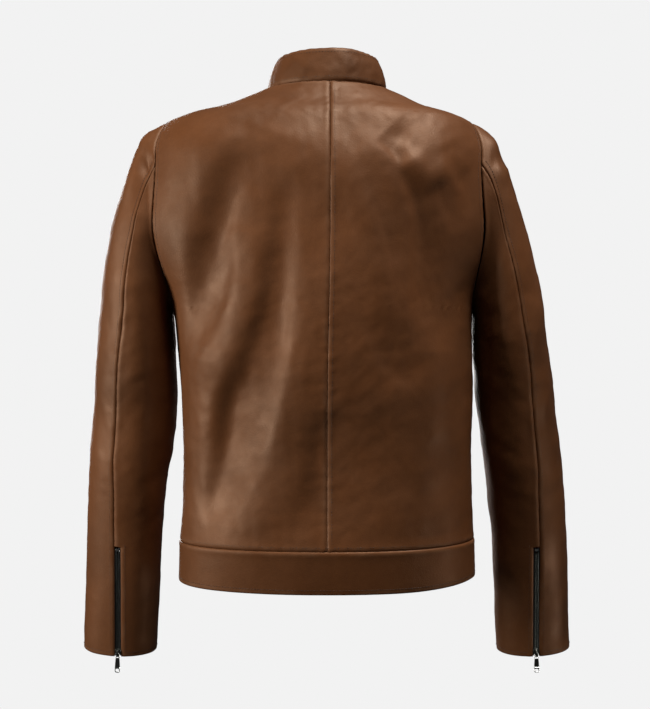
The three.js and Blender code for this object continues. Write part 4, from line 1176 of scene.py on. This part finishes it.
class JACKET_OT_lining(bpy.types.Operator):
    """Sew in the lining, the front facings, the pocket bags and the hanger loop"""

    bl_idname = "jacket.lining"
    bl_label = "Lining"

    def execute(self, context):
        rows = body_rows(BAND_HEIGHT - 10, NECK_ROW - 5, 8.0)
        side_edge = lambda r: np.maximum(armhole_edge(r) + 0.5, gap_angle(r, 0.5))
        facing_x = lambda r: np.minimum(62.0, 0.62 * half_width(r))
        back = leather_panel(
            "lining_back_cloth", lining_skin, rows, lambda r: (side_edge(r), 180 - side_edge(r)), 400,
            look("lining"), thickness=LINING, inset=LINING_INSET, roll=0.1, step=8.0,
        )
        settle(back, "torso", "lining", "lining_back")
        for side, sign in SIDES:
            mirror = sign < 0
            cloth_skin = mirrored_skin(lining_skin) if mirror else lining_skin
            front = leather_panel(
                f"lining_front_cloth_{side}", cloth_skin, rows,
                lambda r: (front_angle(facing_x(r) + 0.4, r), -side_edge(r)), 150, look("lining"),
                thickness=LINING, inset=LINING_INSET, roll=0.1, step=8.0, mirror=mirror,
            )
            settle(front, "torso", "lining", f"lining_front_{side}")
            facing = leather_panel(
                f"front_facing_leather_{side}", plain_body, body_rows(BAND_HEIGHT - 40, NECK_ROW - 5, 8.0),
                lambda r: (front_angle(1.0, r), front_angle(facing_x(r), r)), 60, look("leather"),
                inset=LINING_INSET, roll=0.6, step=6.0, mirror=mirror,
            )
            settle(facing, "torso", "leather", f"front_facing_{side}")
            sleeve_rows = np.linspace(10, CUFF_ROW - 14, 90)
            sleeve = leather_panel(
                f"sleeve_lining_cloth_{side}", sleeve_lining_skin(side), sleeve_rows, lambda r: (0.0, 360.0), 300,
                look("lining"), thickness=LINING, inset=LINING_INSET, roll=0.1, step=8.0, mirror=mirror, ring=True,
            )
            bend_with_sleeve(sleeve)
            settle(sleeve, None, "lining", f"sleeve_lining_{side}")
            bag = leather_panel(
                f"pocket_bag_cloth_{side}", plain_body, np.linspace(POCKET_LOW[1] - 40, POCKET_HIGH[1] - 6, 24),
                bag_edges, 70, look("lining"), thickness=2.0, inset=3.9, roll=0.4, step=6.0, mirror=mirror,
            )
            settle(bag, "torso", "lining", f"pocket_bag_{side}")
        settle(hanger_loop(), "torso", "leather", "hanger_loop")
        return {"FINISHED"}


def plain_body(angle, row, inset=0.0, depth=1.0):
    p, n = body_face(angle, row), body_normals(angle, row)
    return p - n * inset, n


def lining_skin(angle, row, inset=0.0, depth=1.0):
    p, n = body_face(angle, row), body_normals(angle, row)
    room = np.minimum(body_lift(p, n, row), 0.0)
    return p + n * (room + 0.35 * crumple(p, LINING_WAVES) - 0.5 - inset)[..., None], n


def sleeve_lining_skin(side):
    def skin(angle, row, inset=0.0, depth=1.0):
        p, n = sleeve_face(angle, row), sleeve_normals(angle, row)
        calm = np.clip((CUFF_ROW - 40 - row) / 60, 0.1, 1)
        hollow = np.minimum(back_folds_of_sleeve(p, n, side), 0.0)
        return p + n * (hollow + 0.5 * crumple(p, LINING_WAVES) * calm - 0.5 - inset)[..., None], n

    return skin


def bag_edges(rows):
    share = (rows - POCKET_LOW[1]) / (POCKET_HIGH[1] - POCKET_LOW[1])
    outer = POCKET_LOW[0] + (POCKET_HIGH[0] - POCKET_LOW[0]) * share - 8
    return front_angle(np.maximum(outer - 70, 18.0), rows), front_angle(outer, rows)


def hanger_loop():
    """A folded strip of leather, sewn at both ends, that stands off the neck."""
    xs = np.linspace(-34, 34, 45)
    arch = 56.2 - 15 * np.cos(xs / 34 * np.pi / 2) ** 0.7 - xs**2 / 150
    sections = []
    for x, y in zip(xs, arch):
        turn = np.linspace(0, 2 * np.pi, 16, endpoint=False)
        across = np.sign(np.cos(turn)) * np.abs(np.cos(turn)) ** 0.5 * 0.78
        up = np.sign(np.sin(turn)) * np.abs(np.sin(turn)) ** 0.35 * 3.5
        sections.append(np.column_stack([np.full(16, x), y - 0.8 + across, 616 + 3.5 + up]))
    points, faces = ring_loft(sections)
    return add_mesh("hanger_loop_leather", points, faces, look("leather"))


class JACKET_OT_pockets(bpy.types.Operator):
    """Sew a leather welt round each hand pocket's zip"""

    bl_idname = "jacket.pockets"
    bl_label = "Pocket Welts"

    def execute(self, context):
        for side, sign in SIDES:
            local = pocket_frame(1.0)
            welt = pocket_welt(f"pocket_welt_leather_{side}", local, sign)
            settle(welt, "torso", "leather", f"pocket_welt_{side}")
        return {"FINISHED"}


def pocket_welt(name, local, sign):
    """A frame of leather round the slot, on the front's surface."""
    inner_w, inner_l = SLIT_HALF + 0.1, (-0.9, POCKET_ZIP + 0.9)
    outer_w, outer_l = SLIT_HALF + WELT_WIDTH, (-WELT_WIDTH, POCKET_ZIP + WELT_WIDTH)

    def rectangle(w, ends, count=26):
        low, high = ends
        right = [(w, low + (high - low) * t) for t in np.linspace(0, 1, count)]
        left = [(-w, y) for _, y in right[::-1]]
        top = [(w - 2 * w * t, high) for t in (0.25, 0.5, 0.75)]
        low_edge = [(-w + 2 * w * t, low) for t in (0.25, 0.5, 0.75)]
        return np.array(right + top + left + low_edge)

    outer, inner = rectangle(outer_w, outer_l), rectangle(inner_w, inner_l)
    shares = spaced(WELT_WIDTH, 1.6)
    grid = np.stack([outer + (inner - outer) * s for s in shares])
    flat = np.concatenate([grid, np.zeros(grid.shape[:2] + (1,))], -1)
    spots = local.place(flat.reshape(-1, 3)).reshape(flat.shape)
    angle = front_angle(spots[..., 0], spots[..., 2])
    foot, n = body_face(angle, spots[..., 2]), body_normals(angle, spots[..., 2])
    d = shares[:, None] * WELT_WIDTH
    lift = rolled(d, 0.9, 0.7) + rolled(WELT_WIDTH - d, 0.9, 0.7)
    top = foot + n * (1.55 + 0.4 * lift)[..., None]
    under = foot + n * 0.2
    points = np.concatenate([top.reshape(-1, 3), under.reshape(-1, 3)]) * np.array([sign, 1.0, 1.0])
    faces = shell_faces(len(shares), grid.shape[1], ring=True)
    if solid_volume(points, faces) < 0:
        faces = faces[:, ::-1]
    # Paler colour near the welt's edge: partly rub wear, partly a painted highlight.
    wear_and_highlight = np.broadcast_to(np.exp(-(((d - 1.5) / 1.0) ** 2)), grid.shape[:2]).ravel()
    return add_mesh(name, points, faces, look("leather"), {"wear_and_highlight": np.concatenate([wear_and_highlight, wear_and_highlight])})


class JACKET_OT_zips(bpy.types.Operator):
    """Set the zips: tape, teeth, sliders and pulls"""

    bl_idname = "jacket.zips"
    bl_label = "Zips"

    def execute(self, context):
        neck, hem = (body_face(np.array(-90.0), np.array(row)) for row in (NECK_ROW, 0.0))
        length = float(np.linalg.norm(neck - hem))
        front_at = length - FRONT_SLIDER_BELOW
        cuff_chain = CUFF_ZIP - CUFF_CHAIN_SHORT
        for side, sign in SIDES:
            swing, slide = "cuff_pull_swing_" + side, "cuff_zip_slide_" + side
            local = zip_frame(swing, slide, CUFF_SLIDER_AT, 1.0, (0, 1, 0))
            for edge, hand in (("outer", -1.0), ("under", 1.0)):
                add_chain(
                    local, f"{edge}_{side}", "cuff", hand * sign, 1.5, cuff_chain, 7.4, f"sleeve_{side}",
                    1.0, CUFF_ZIP - 3,
                )
            name, pull, at = f"cuff_slider_{side}", f"cuff_pull_{side}", local_at(local, CUFF_SLIDER_AT)
            add_slider(name, at, name, name)
            add_pull(pull, hanging(at), pull, f"cuff_pull_frame_{side}", f"cuff_pull_tab_{side}")
            top_stop(local, cuff_chain + 0.3, side)
            local = pocket_frame(sign)
            add_pocket_teeth(local, side)
            name, pull, at = f"pocket_slider_{side}", f"pocket_pull_{side}", local_at(local, POCKET_SLIDER_AT)
            add_slider(name, at, name, name)
            add_pull(pull, at, pull, pull, None)
        local = zip_frame("front_pull_swing", "front_zip_slide", front_at, -1.0, (0, -1, 0))
        for side, hand in (("left", float(np.sign(local.x[0]))), ("right", -float(np.sign(local.x[0])))):
            add_chain(local, side, "front_zip", hand, 16.0, length - 4, 13.0, "torso", 5.0, length - 3)
        add_slider("front_slider", local_at(local, front_at), "front_slider", "front_slider")
        add_pull("front_pull", local_at(local, front_at), "front_pull", "front_pull_frame", "front_pull_tab")
        repaint("front_zip_box", "nickel")
        return {"FINISHED"}


def repaint(node, finish):
    data = frame["nodes"][node].data
    data.materials.clear()
    data.materials.append(look(finish))


def zip_frame(swing, slide, at, way, out):
    """A zip's own frame from its joints, with its slider this far up."""
    along = np.array(JOINTS[slide]["axis"], float) * way
    local = Local(JOINTS[swing]["pos_m"], JOINTS[swing]["axis"], along, out)
    local.origin = local.origin - local.y * at - local.z * PULL_AXIS
    return local


def local_at(local, y):
    made = Local(row_frame(local.origin + local.y * y + local.z * PULL_AXIS), local.x, local.y)
    return made


def hanging(local):
    """The same place, with y straight up."""
    up = np.array([0, 0, 1.0])
    return Local(row_frame(local.origin), local.x, unit(up - local.x * (up @ local.x)))


def tooth(hand, y):
    """One tooth: a foot clamped on the tape's edge and a rounded head that reaches over the middle."""
    top, low = CHAIN_TOP, CHAIN_TOP - CHAIN_THICK
    sections = []
    for x, half, up, down in (
        (2.6, 0.42, top - 0.35, low + 0.35), (2.2, 0.52, top - 0.05, low + 0.05), (0.9, 0.5, top - 0.05, low + 0.05),
        (0.5, 0.38, top - 0.3, low + 0.3), (0.0, 0.42, top - 0.25, low + 0.25), (-0.55, 0.5, top - 0.35, low + 0.35),
        (-0.95, 0.22, top - 0.8, low + 0.8),
    ):
        corner = 0.6 * half
        sections.append([
            (hand * x, y - half, down + 0.3), (hand * x, y - corner, down), (hand * x, y + corner, down),
            (hand * x, y + half, down + 0.3), (hand * x, y + half, up - 0.3), (hand * x, y + corner, up),
            (hand * x, y - corner, up), (hand * x, y - half, up - 0.3),
        ])
    points, faces = ring_loft(sections)
    return points, [f[::-1] for f in faces] if hand > 0 else faces


def tape_strip(hand, reach, low, high):
    """Woven tape with a corded edge that the teeth are clamped on."""
    across = [(0.9, 0.5), (1.3, 0.75), (1.9, 0.75), (2.4, 0.4), (3.0, 0.3), (reach - 0.6, 0.3), (reach, 0.18)]
    outline = [(x, h) for x, h in across] + [(x, -h) for x, h in across[::-1]]
    sections = []
    for y in np.linspace(low, high, max(2, int((high - low) / 6))):
        sections.append([(hand * x, y, TAPE_MIDDLE + h) for x, h in outline])
    points, faces = ring_loft(sections)
    return points, [f[::-1] for f in faces] if hand < 0 else faces


def chain(hand, low, high):
    pitch = bpy.context.scene.jacket_sizes.tooth_pitch * MM
    count = int((high - low - 1.2) / pitch)
    start = low + 0.6 + (pitch / 2 if hand > 0 else 0)
    return [tooth(hand, start + pitch * i) for i in range(count)]


def add_chain(local, ending, zip_name, hand, low, high, reach, body, tape_low, tape_high):
    teeth = add_local(f"{zip_name}_teeth_metal_{ending}", local, chain(hand, low, high), look("gunmetal"))
    settle(teeth, body, "gunmetal", f"{zip_name}_teeth_{ending}")
    cloth = [tape_strip(hand, reach, tape_low, tape_high)]
    strip = add_local(f"{zip_name}_tape_cloth_{ending}", local, cloth, look("zip_tape"))
    settle(strip, body, "zip_tape", f"{zip_name}_tape_{ending}")


def add_pocket_teeth(local, side):
    solids = chain(1.0, 3.0, POCKET_ZIP - 1) + chain(-1.0, 3.0, POCKET_ZIP - 1)
    solids += [tape_strip(1.0, 4.2, 1.5, POCKET_ZIP - 1.5), tape_strip(-1.0, 4.2, 1.5, POCKET_ZIP - 1.5)]
    foot = [(-2.6, 1.0), (2.6, 1.0), (2.6, 2.8), (-2.6, 2.8)]
    solids.append(rounded_slab(foot, CHAIN_TOP - CHAIN_THICK, CHAIN_TOP + 0.2, 0.3))
    made = add_local(f"pocket_teeth_metal_{side}", local, solids, look("gunmetal"))
    settle(made, "torso", "gunmetal", f"pocket_teeth_{side}")


def top_stop(local, at, side):
    right = [(2.4, at), (2.6, at + 0.6), (2.6, at + 2.4), (2.2, at + 3.0)]
    outline = [(-2.4, at)] + right + [(-2.2, at + 3.0), (-2.6, at + 2.4), (-2.6, at + 0.6)]
    block = rounded_slab(outline, CHAIN_TOP - CHAIN_THICK, CHAIN_TOP + 0.6, 0.4)
    made = add_local(f"top_stop_metal_{side}", local, [block], look("nickel"))
    settle(made, f"sleeve_{side}", "nickel", f"cuff_top_stop_{side}")


def slider_outline(shrink=0.0):
    """A slider's plate: wide at its mouth, waisted, and round at its end."""
    shape = [
        (0, 5.5), (1.9, 5.3), (3.3, 4.7), (3.9, 3.4), (3.8, 1.2), (3.2, -1.4), (2.8, -3.4), (2.5, -4.9), (1.6, -5.5),
    ]
    right = [(x - shrink * np.sign(x), y - shrink * np.sign(y)) for x, y in shape]
    left = [(-x, y) for x, y in right[::-1] if x > 0.5]
    return np.array(right + left)[::-1]


def add_slider(name, local, body, node):
    """A zip's slider, with the origin of its frame on the pull's axis."""
    top = CHAIN_TOP + 0.3 + 1.3 - PULL_AXIS
    low = CHAIN_TOP - CHAIN_THICK - 0.3 - 1.3 - PULL_AXIS
    solids = [
        rounded_slab(slider_outline(), top - 1.3, top, 0.4), rounded_slab(slider_outline(), low, low + 1.3, 0.4),
    ]
    for hand in (-1, 1):
        shape = [(3.1, 4.6), (3.9, 3.4), (3.8, 1.2), (3.2, -1.4), (2.85, -1.2), (3.2, 1.2)]
        lip = [(hand * x, y) for x, y in shape]
        lip = lip if hand < 0 else lip[::-1]
        solids.append(rounded_slab(lip, top - 2.1, top - 1.1, 0.12))
        solids.append(rounded_slab(lip, low + 1.1, low + 2.1, 0.12))
    arch = [(0, 4.1, top - 0.3), (0, 4.15, top + 0.9), (0, 3.5, top + 1.75), (0, 2.2, top + 2.05), (0, 0, top + 2.1)]
    arch += [(0, -2.2, top + 2.05), (0, -3.5, top + 1.75), (0, -4.15, top + 0.9), (0, -4.1, top - 0.3)]
    points, faces = wire(arch, 0.42, 10)
    points = points * np.array([2.6, 1, 1])
    solids.append((points, faces))
    made = add_local(name + "_metal", local, solids, look("gunmetal"))
    settle(made, body, "gunmetal", node)


def ring_path(half, low, high, corner, count=40):
    """A rounded oblong loop in the pull's plane."""
    turns = np.linspace(0, 2 * np.pi, count, endpoint=False)
    c, s = np.cos(turns), np.sin(turns)
    x = half * np.sign(c) * np.abs(c) ** corner
    y = (low + high) / 2 + (high - low) / 2 * np.sign(s) * np.abs(s) ** corner
    return np.column_stack([x, y, np.zeros(count)])


def add_pull(name, local, body, frame_node, tab_node):
    """A pull that hangs down -y: a wire link, a tapered insert in a metal clip, and an end ring."""
    link = wire(ring_path(2.25, -6.6, 0.05, 0.55), 0.5, 10, closed=True)
    clip = [(-1.9, -6.0), (1.9, -6.0), (2.3, -6.8), (2.6, -8.2), (-2.6, -8.2), (-2.3, -6.8)]
    low_clip = [(-3.2, -17.6), (3.2, -17.6), (3.35, -18.6), (3.1, -19.8), (-3.1, -19.8), (-3.35, -18.6)]
    metal = [
        link, rounded_slab(clip[::-1], -0.95, 0.95, 0.3), rounded_slab(low_clip[::-1], -0.95, 0.95, 0.3),
        wire(ring_path(2.75, -24.3, -19.3, 0.7), 0.65, 10, closed=True),
    ]
    body_outline = [(-2.5, -8.0), (2.5, -8.0), (2.9, -12.5), (3.2, -17.8), (-3.2, -17.8), (-2.9, -12.5)]
    insert = rounded_slab(body_outline[::-1], -0.85, 0.85, 0.25)
    if tab_node:
        made = add_local(name + "_metal", local, metal, look("nickel"))
        settle(made, body, "nickel", frame_node)
        filled = add_local(name + "_insert", local, [insert], look("pull_insert"))
        settle(filled, body, "pull_insert", tab_node)
    else:
        made = add_local(name + "_metal", local, metal + [insert], look("nickel"))
        settle(made, body, "nickel", frame_node)


class JACKET_OT_stitching(bpy.types.Operator):
    """Topstitch the seams"""

    bl_idname = "jacket.stitching"
    bl_label = "Stitching"

    def execute(self, context):
        lines = []
        steps = lambda low, high: np.linspace(low, high, max(4, int(abs(high - low) / 4)))
        rows = steps(BAND_HEIGHT + 4, NECK_ROW - 3)
        lines.append(stitches(body_skin, 90 + np.degrees(5.5 / back_depth(rows)), rows))
        round_back = np.linspace(1.5, 178.5, 120)
        for height in (BAND_HEIGHT + 5.0, 6.0):
            skin = body_skin if height > BAND_HEIGHT else band_skin
            lines.append(stitches(skin, round_back, np.full(120, height)))
        for side, sign in SIDES:
            mirror = sign < 0
            skin = mirrored_skin(body_skin) if mirror else body_skin
            band = mirrored_skin(band_skin) if mirror else band_skin
            front_start = float(front_angle(9.0, BAND_HEIGHT))
            round_front = np.linspace(front_start, -1.5, 60)
            lines.append(stitches(skin, round_front, np.full(60, BAND_HEIGHT + 5.0), mirror))
            lines.append(stitches(band, round_front, np.full(60, 6.0), mirror))
            edge_rows = steps(BAND_HEIGHT + 2, NECK_ROW - 3)
            lines.append(stitches(skin, front_angle(10.5, edge_rows), edge_rows, mirror))
            turns = np.linspace(178, 2, 130)
            row = (UNDERARM_Z + SHOULDER_Z) / 2 + (ARMHOLE_HEIGHT / 2 + 5) * np.cos(np.radians(turns))
            for hand in (1, -1):
                angle = hand * (ARMHOLE_HALF_ANGLE + 1.7) * np.sin(np.radians(turns))
                lines.append(stitches(skin, angle, row, mirror))
            shoulder = steps(SHOULDER_Z + 6, NECK_ROW - 3)
            lines.append(stitches(skin, gap_angle(shoulder, 5.0), shoulder, mirror))
        around = np.linspace(-86, 266, 220)
        lines.append(stitches(collar_skin, around, np.full(220, 1 - 5.5 / COLLAR_HEIGHT)))
        lines.append(stitches(collar_skin, around, np.full(220, 5.0 / COLLAR_HEIGHT)))
        settle(add_stitching("stitching_body", lines), "torso", "leather")
        for side, sign in SIDES:
            mirror, skin = sign < 0, sleeve_skin(side)
            down = steps(6, ZIP_TOP_ROW - 2)
            sewn = [stitches(skin, back_angle(down) - slit_angle(down, SLIT_HALF + 5), down, mirror)]
            cuffs = steps(ZIP_TOP_ROW - 2, CUFF_ROW - 6)
            for offset in (-(SLIT_HALF + 5), SLIT_HALF + 5):
                sewn.append(stitches(skin, back_angle(cuffs) + slit_angle(cuffs, offset), cuffs, mirror))
            start = float(back_angle(CUFF_ROW)) + 12
            round_cuff = np.linspace(start, start + 336, 150)
            sewn.append(stitches(skin, round_cuff, np.full(150, CUFF_ROW - 6), mirror))
            piece = add_stitching(f"stitching_sleeve_{side}", sewn)
            bend_with_sleeve(piece)
            settle(piece, None, "leather")
        return {"FINISHED"}


def band_skin(angle, row, inset=0.0, depth=1.0):
    return tucked_body(angle, row, inset - 1.0, depth)


def tucked_body(angle, row, inset=0.0, depth=1.0):
    """The hem band's skin: its lower edge draws in."""
    draw = 9.0 * np.clip(1 - row / BAND_HEIGHT, 0, 1) * np.clip(np.sin(np.radians(angle)), 0, 1)
    p, n = body_skin(angle, row, inset, depth)
    return p - n * draw[..., None], n


class JACKET_OT_stage(bpy.types.Operator):
    """Set the floor, the lights and the camera"""

    bl_idname = "jacket.stage"
    bl_label = "Stage"

    def execute(self, context):
        stage = context.scene.jacket_stage
        floor_z = SOLIDS_BOX[0][2] - 0.06
        mesh = bpy.data.meshes.new("floor")
        corners = [(x, y, floor_z) for x, y in ((-20, -20), (20, -20), (20, 20), (-20, 20))]
        mesh.from_pydata(corners, [], [(0, 1, 2, 3)])
        floor = bpy.data.objects.new("floor", mesh)
        context.scene.collection.objects.link(floor)
        paint = bpy.data.materials.new("Pale floor")
        paint.use_nodes = True
        shader = paint.node_tree.nodes["Principled BSDF"]
        shader.inputs["Base Color"].default_value = (0.0, 0.0, 0.0, 1)
        shader.inputs["Roughness"].default_value = 0.9
        shader.inputs["Specular IOR Level"].default_value = 0.0
        shader.inputs["Emission Color"].default_value = (*stage.pale, 1)
        shader.inputs["Emission Strength"].default_value = 1.0
        mesh.materials.append(paint)
        floor.visible_diffuse = False
        floor.visible_glossy = False
        self.room(context, stage)
        self.soft_light("side light", (1.5, 0.62, -0.25), (0.1, 0.0, -0.3), (0.35, 0.8), stage.side)
        self.soft_light("top light", (-0.8, 0.85, 2.7), (0, 0.05, -0.2), (1.5, 0.8), stage.top)
        self.soft_light("front light", (0.9, -2.6, 0.2), (0, 0.0, -0.3), (1.6, 1.6), stage.front)
        self.soft_light("low light", (-1.4, 0.65, -1.1), (-0.12, 0.0, -0.42), (0.7, 0.7), stage.low)
        camera = bpy.data.cameras.new("camera")
        camera.lens = stage.lens
        camera.sensor_width = 36.0
        camera.clip_end = 50
        eye = bpy.data.objects.new("camera", camera)
        eye.location = row_frame(np.array([stage.aside, stage.distance, stage.height]) * MM)
        eye.rotation_euler = (math.radians(90), 0, math.radians(180))
        context.scene.collection.objects.link(eye)
        context.scene.camera = eye
        context.scene.view_settings.view_transform = "Standard"
        return {"FINISHED"}

    @staticmethod
    def room(context, stage):
        world = bpy.data.worlds.new("room")
        world.use_nodes = True
        context.scene.world = world
        tree = world.node_tree
        soft = tree.nodes["Background"]
        soft.inputs["Color"].default_value = (1, 1, 1, 1)
        soft.inputs["Strength"].default_value = stage.room
        seen = tree.nodes.new("ShaderNodeBackground")
        seen.inputs["Color"].default_value = (*stage.pale, 1)
        path = tree.nodes.new("ShaderNodeLightPath")
        mix = tree.nodes.new("ShaderNodeMixShader")
        tree.links.new(path.outputs["Is Camera Ray"], mix.inputs[0])
        tree.links.new(soft.outputs[0], mix.inputs[1])
        tree.links.new(seen.outputs[0], mix.inputs[2])
        tree.links.new(mix.outputs[0], tree.nodes["World Output"].inputs["Surface"])

    @staticmethod
    def soft_light(name, place, target, size, power):
        light = bpy.data.lights.new(name, "AREA")
        light.shape = "RECTANGLE"
        light.size, light.size_y = size
        light.energy = power
        made = bpy.data.objects.new(name, light)
        made.location = place
        made.rotation_euler = (Vector(target) - Vector(place)).to_track_quat("-Z", "Y").to_euler()
        bpy.context.scene.collection.objects.link(made)
        return made


class JACKET_PT_panel(bpy.types.Panel):
    """Lists the jacket's settings and the steps that make it"""

    bl_label = "Riding Jacket"
    bl_idname = "JACKET_PT_panel"
    bl_space_type = "VIEW_3D"
    bl_region_type = "UI"
    bl_category = "Jacket"

    def draw(self, context):
        for group in (context.scene.jacket_sizes, context.scene.jacket_colours, context.scene.jacket_stage):
            box = self.layout.box()
            for key in group.__annotations__:
                box.prop(group, key)
        for step in STEPS:
            self.layout.operator(step.bl_idname)


STEPS = (
    JACKET_OT_body, JACKET_OT_sleeves, JACKET_OT_collar, JACKET_OT_lining, JACKET_OT_pockets, JACKET_OT_zips,
    JACKET_OT_stitching, JACKET_OT_stage,
)
CLASSES = (JacketSizes, JacketColours, JacketStage, *STEPS, JACKET_PT_panel)


def register():
    for made in CLASSES:
        bpy.utils.register_class(made)
    bpy.types.Scene.jacket_sizes = PointerProperty(type=JacketSizes)
    bpy.types.Scene.jacket_colours = PointerProperty(type=JacketColours)
    bpy.types.Scene.jacket_stage = PointerProperty(type=JacketStage)


def unregister():
    del bpy.types.Scene.jacket_stage
    del bpy.types.Scene.jacket_colours
    del bpy.types.Scene.jacket_sizes
    for made in reversed(CLASSES):
        bpy.utils.unregister_class(made)


def main():
    register()
    bpy.ops.jacket.body()
    bpy.ops.jacket.sleeves()
    bpy.ops.jacket.collar()
    bpy.ops.jacket.lining()
    bpy.ops.jacket.pockets()
    bpy.ops.jacket.zips()
    bpy.ops.jacket.stitching()
    bpy.ops.jacket.stage()


if __name__ == "__main__":
    main()
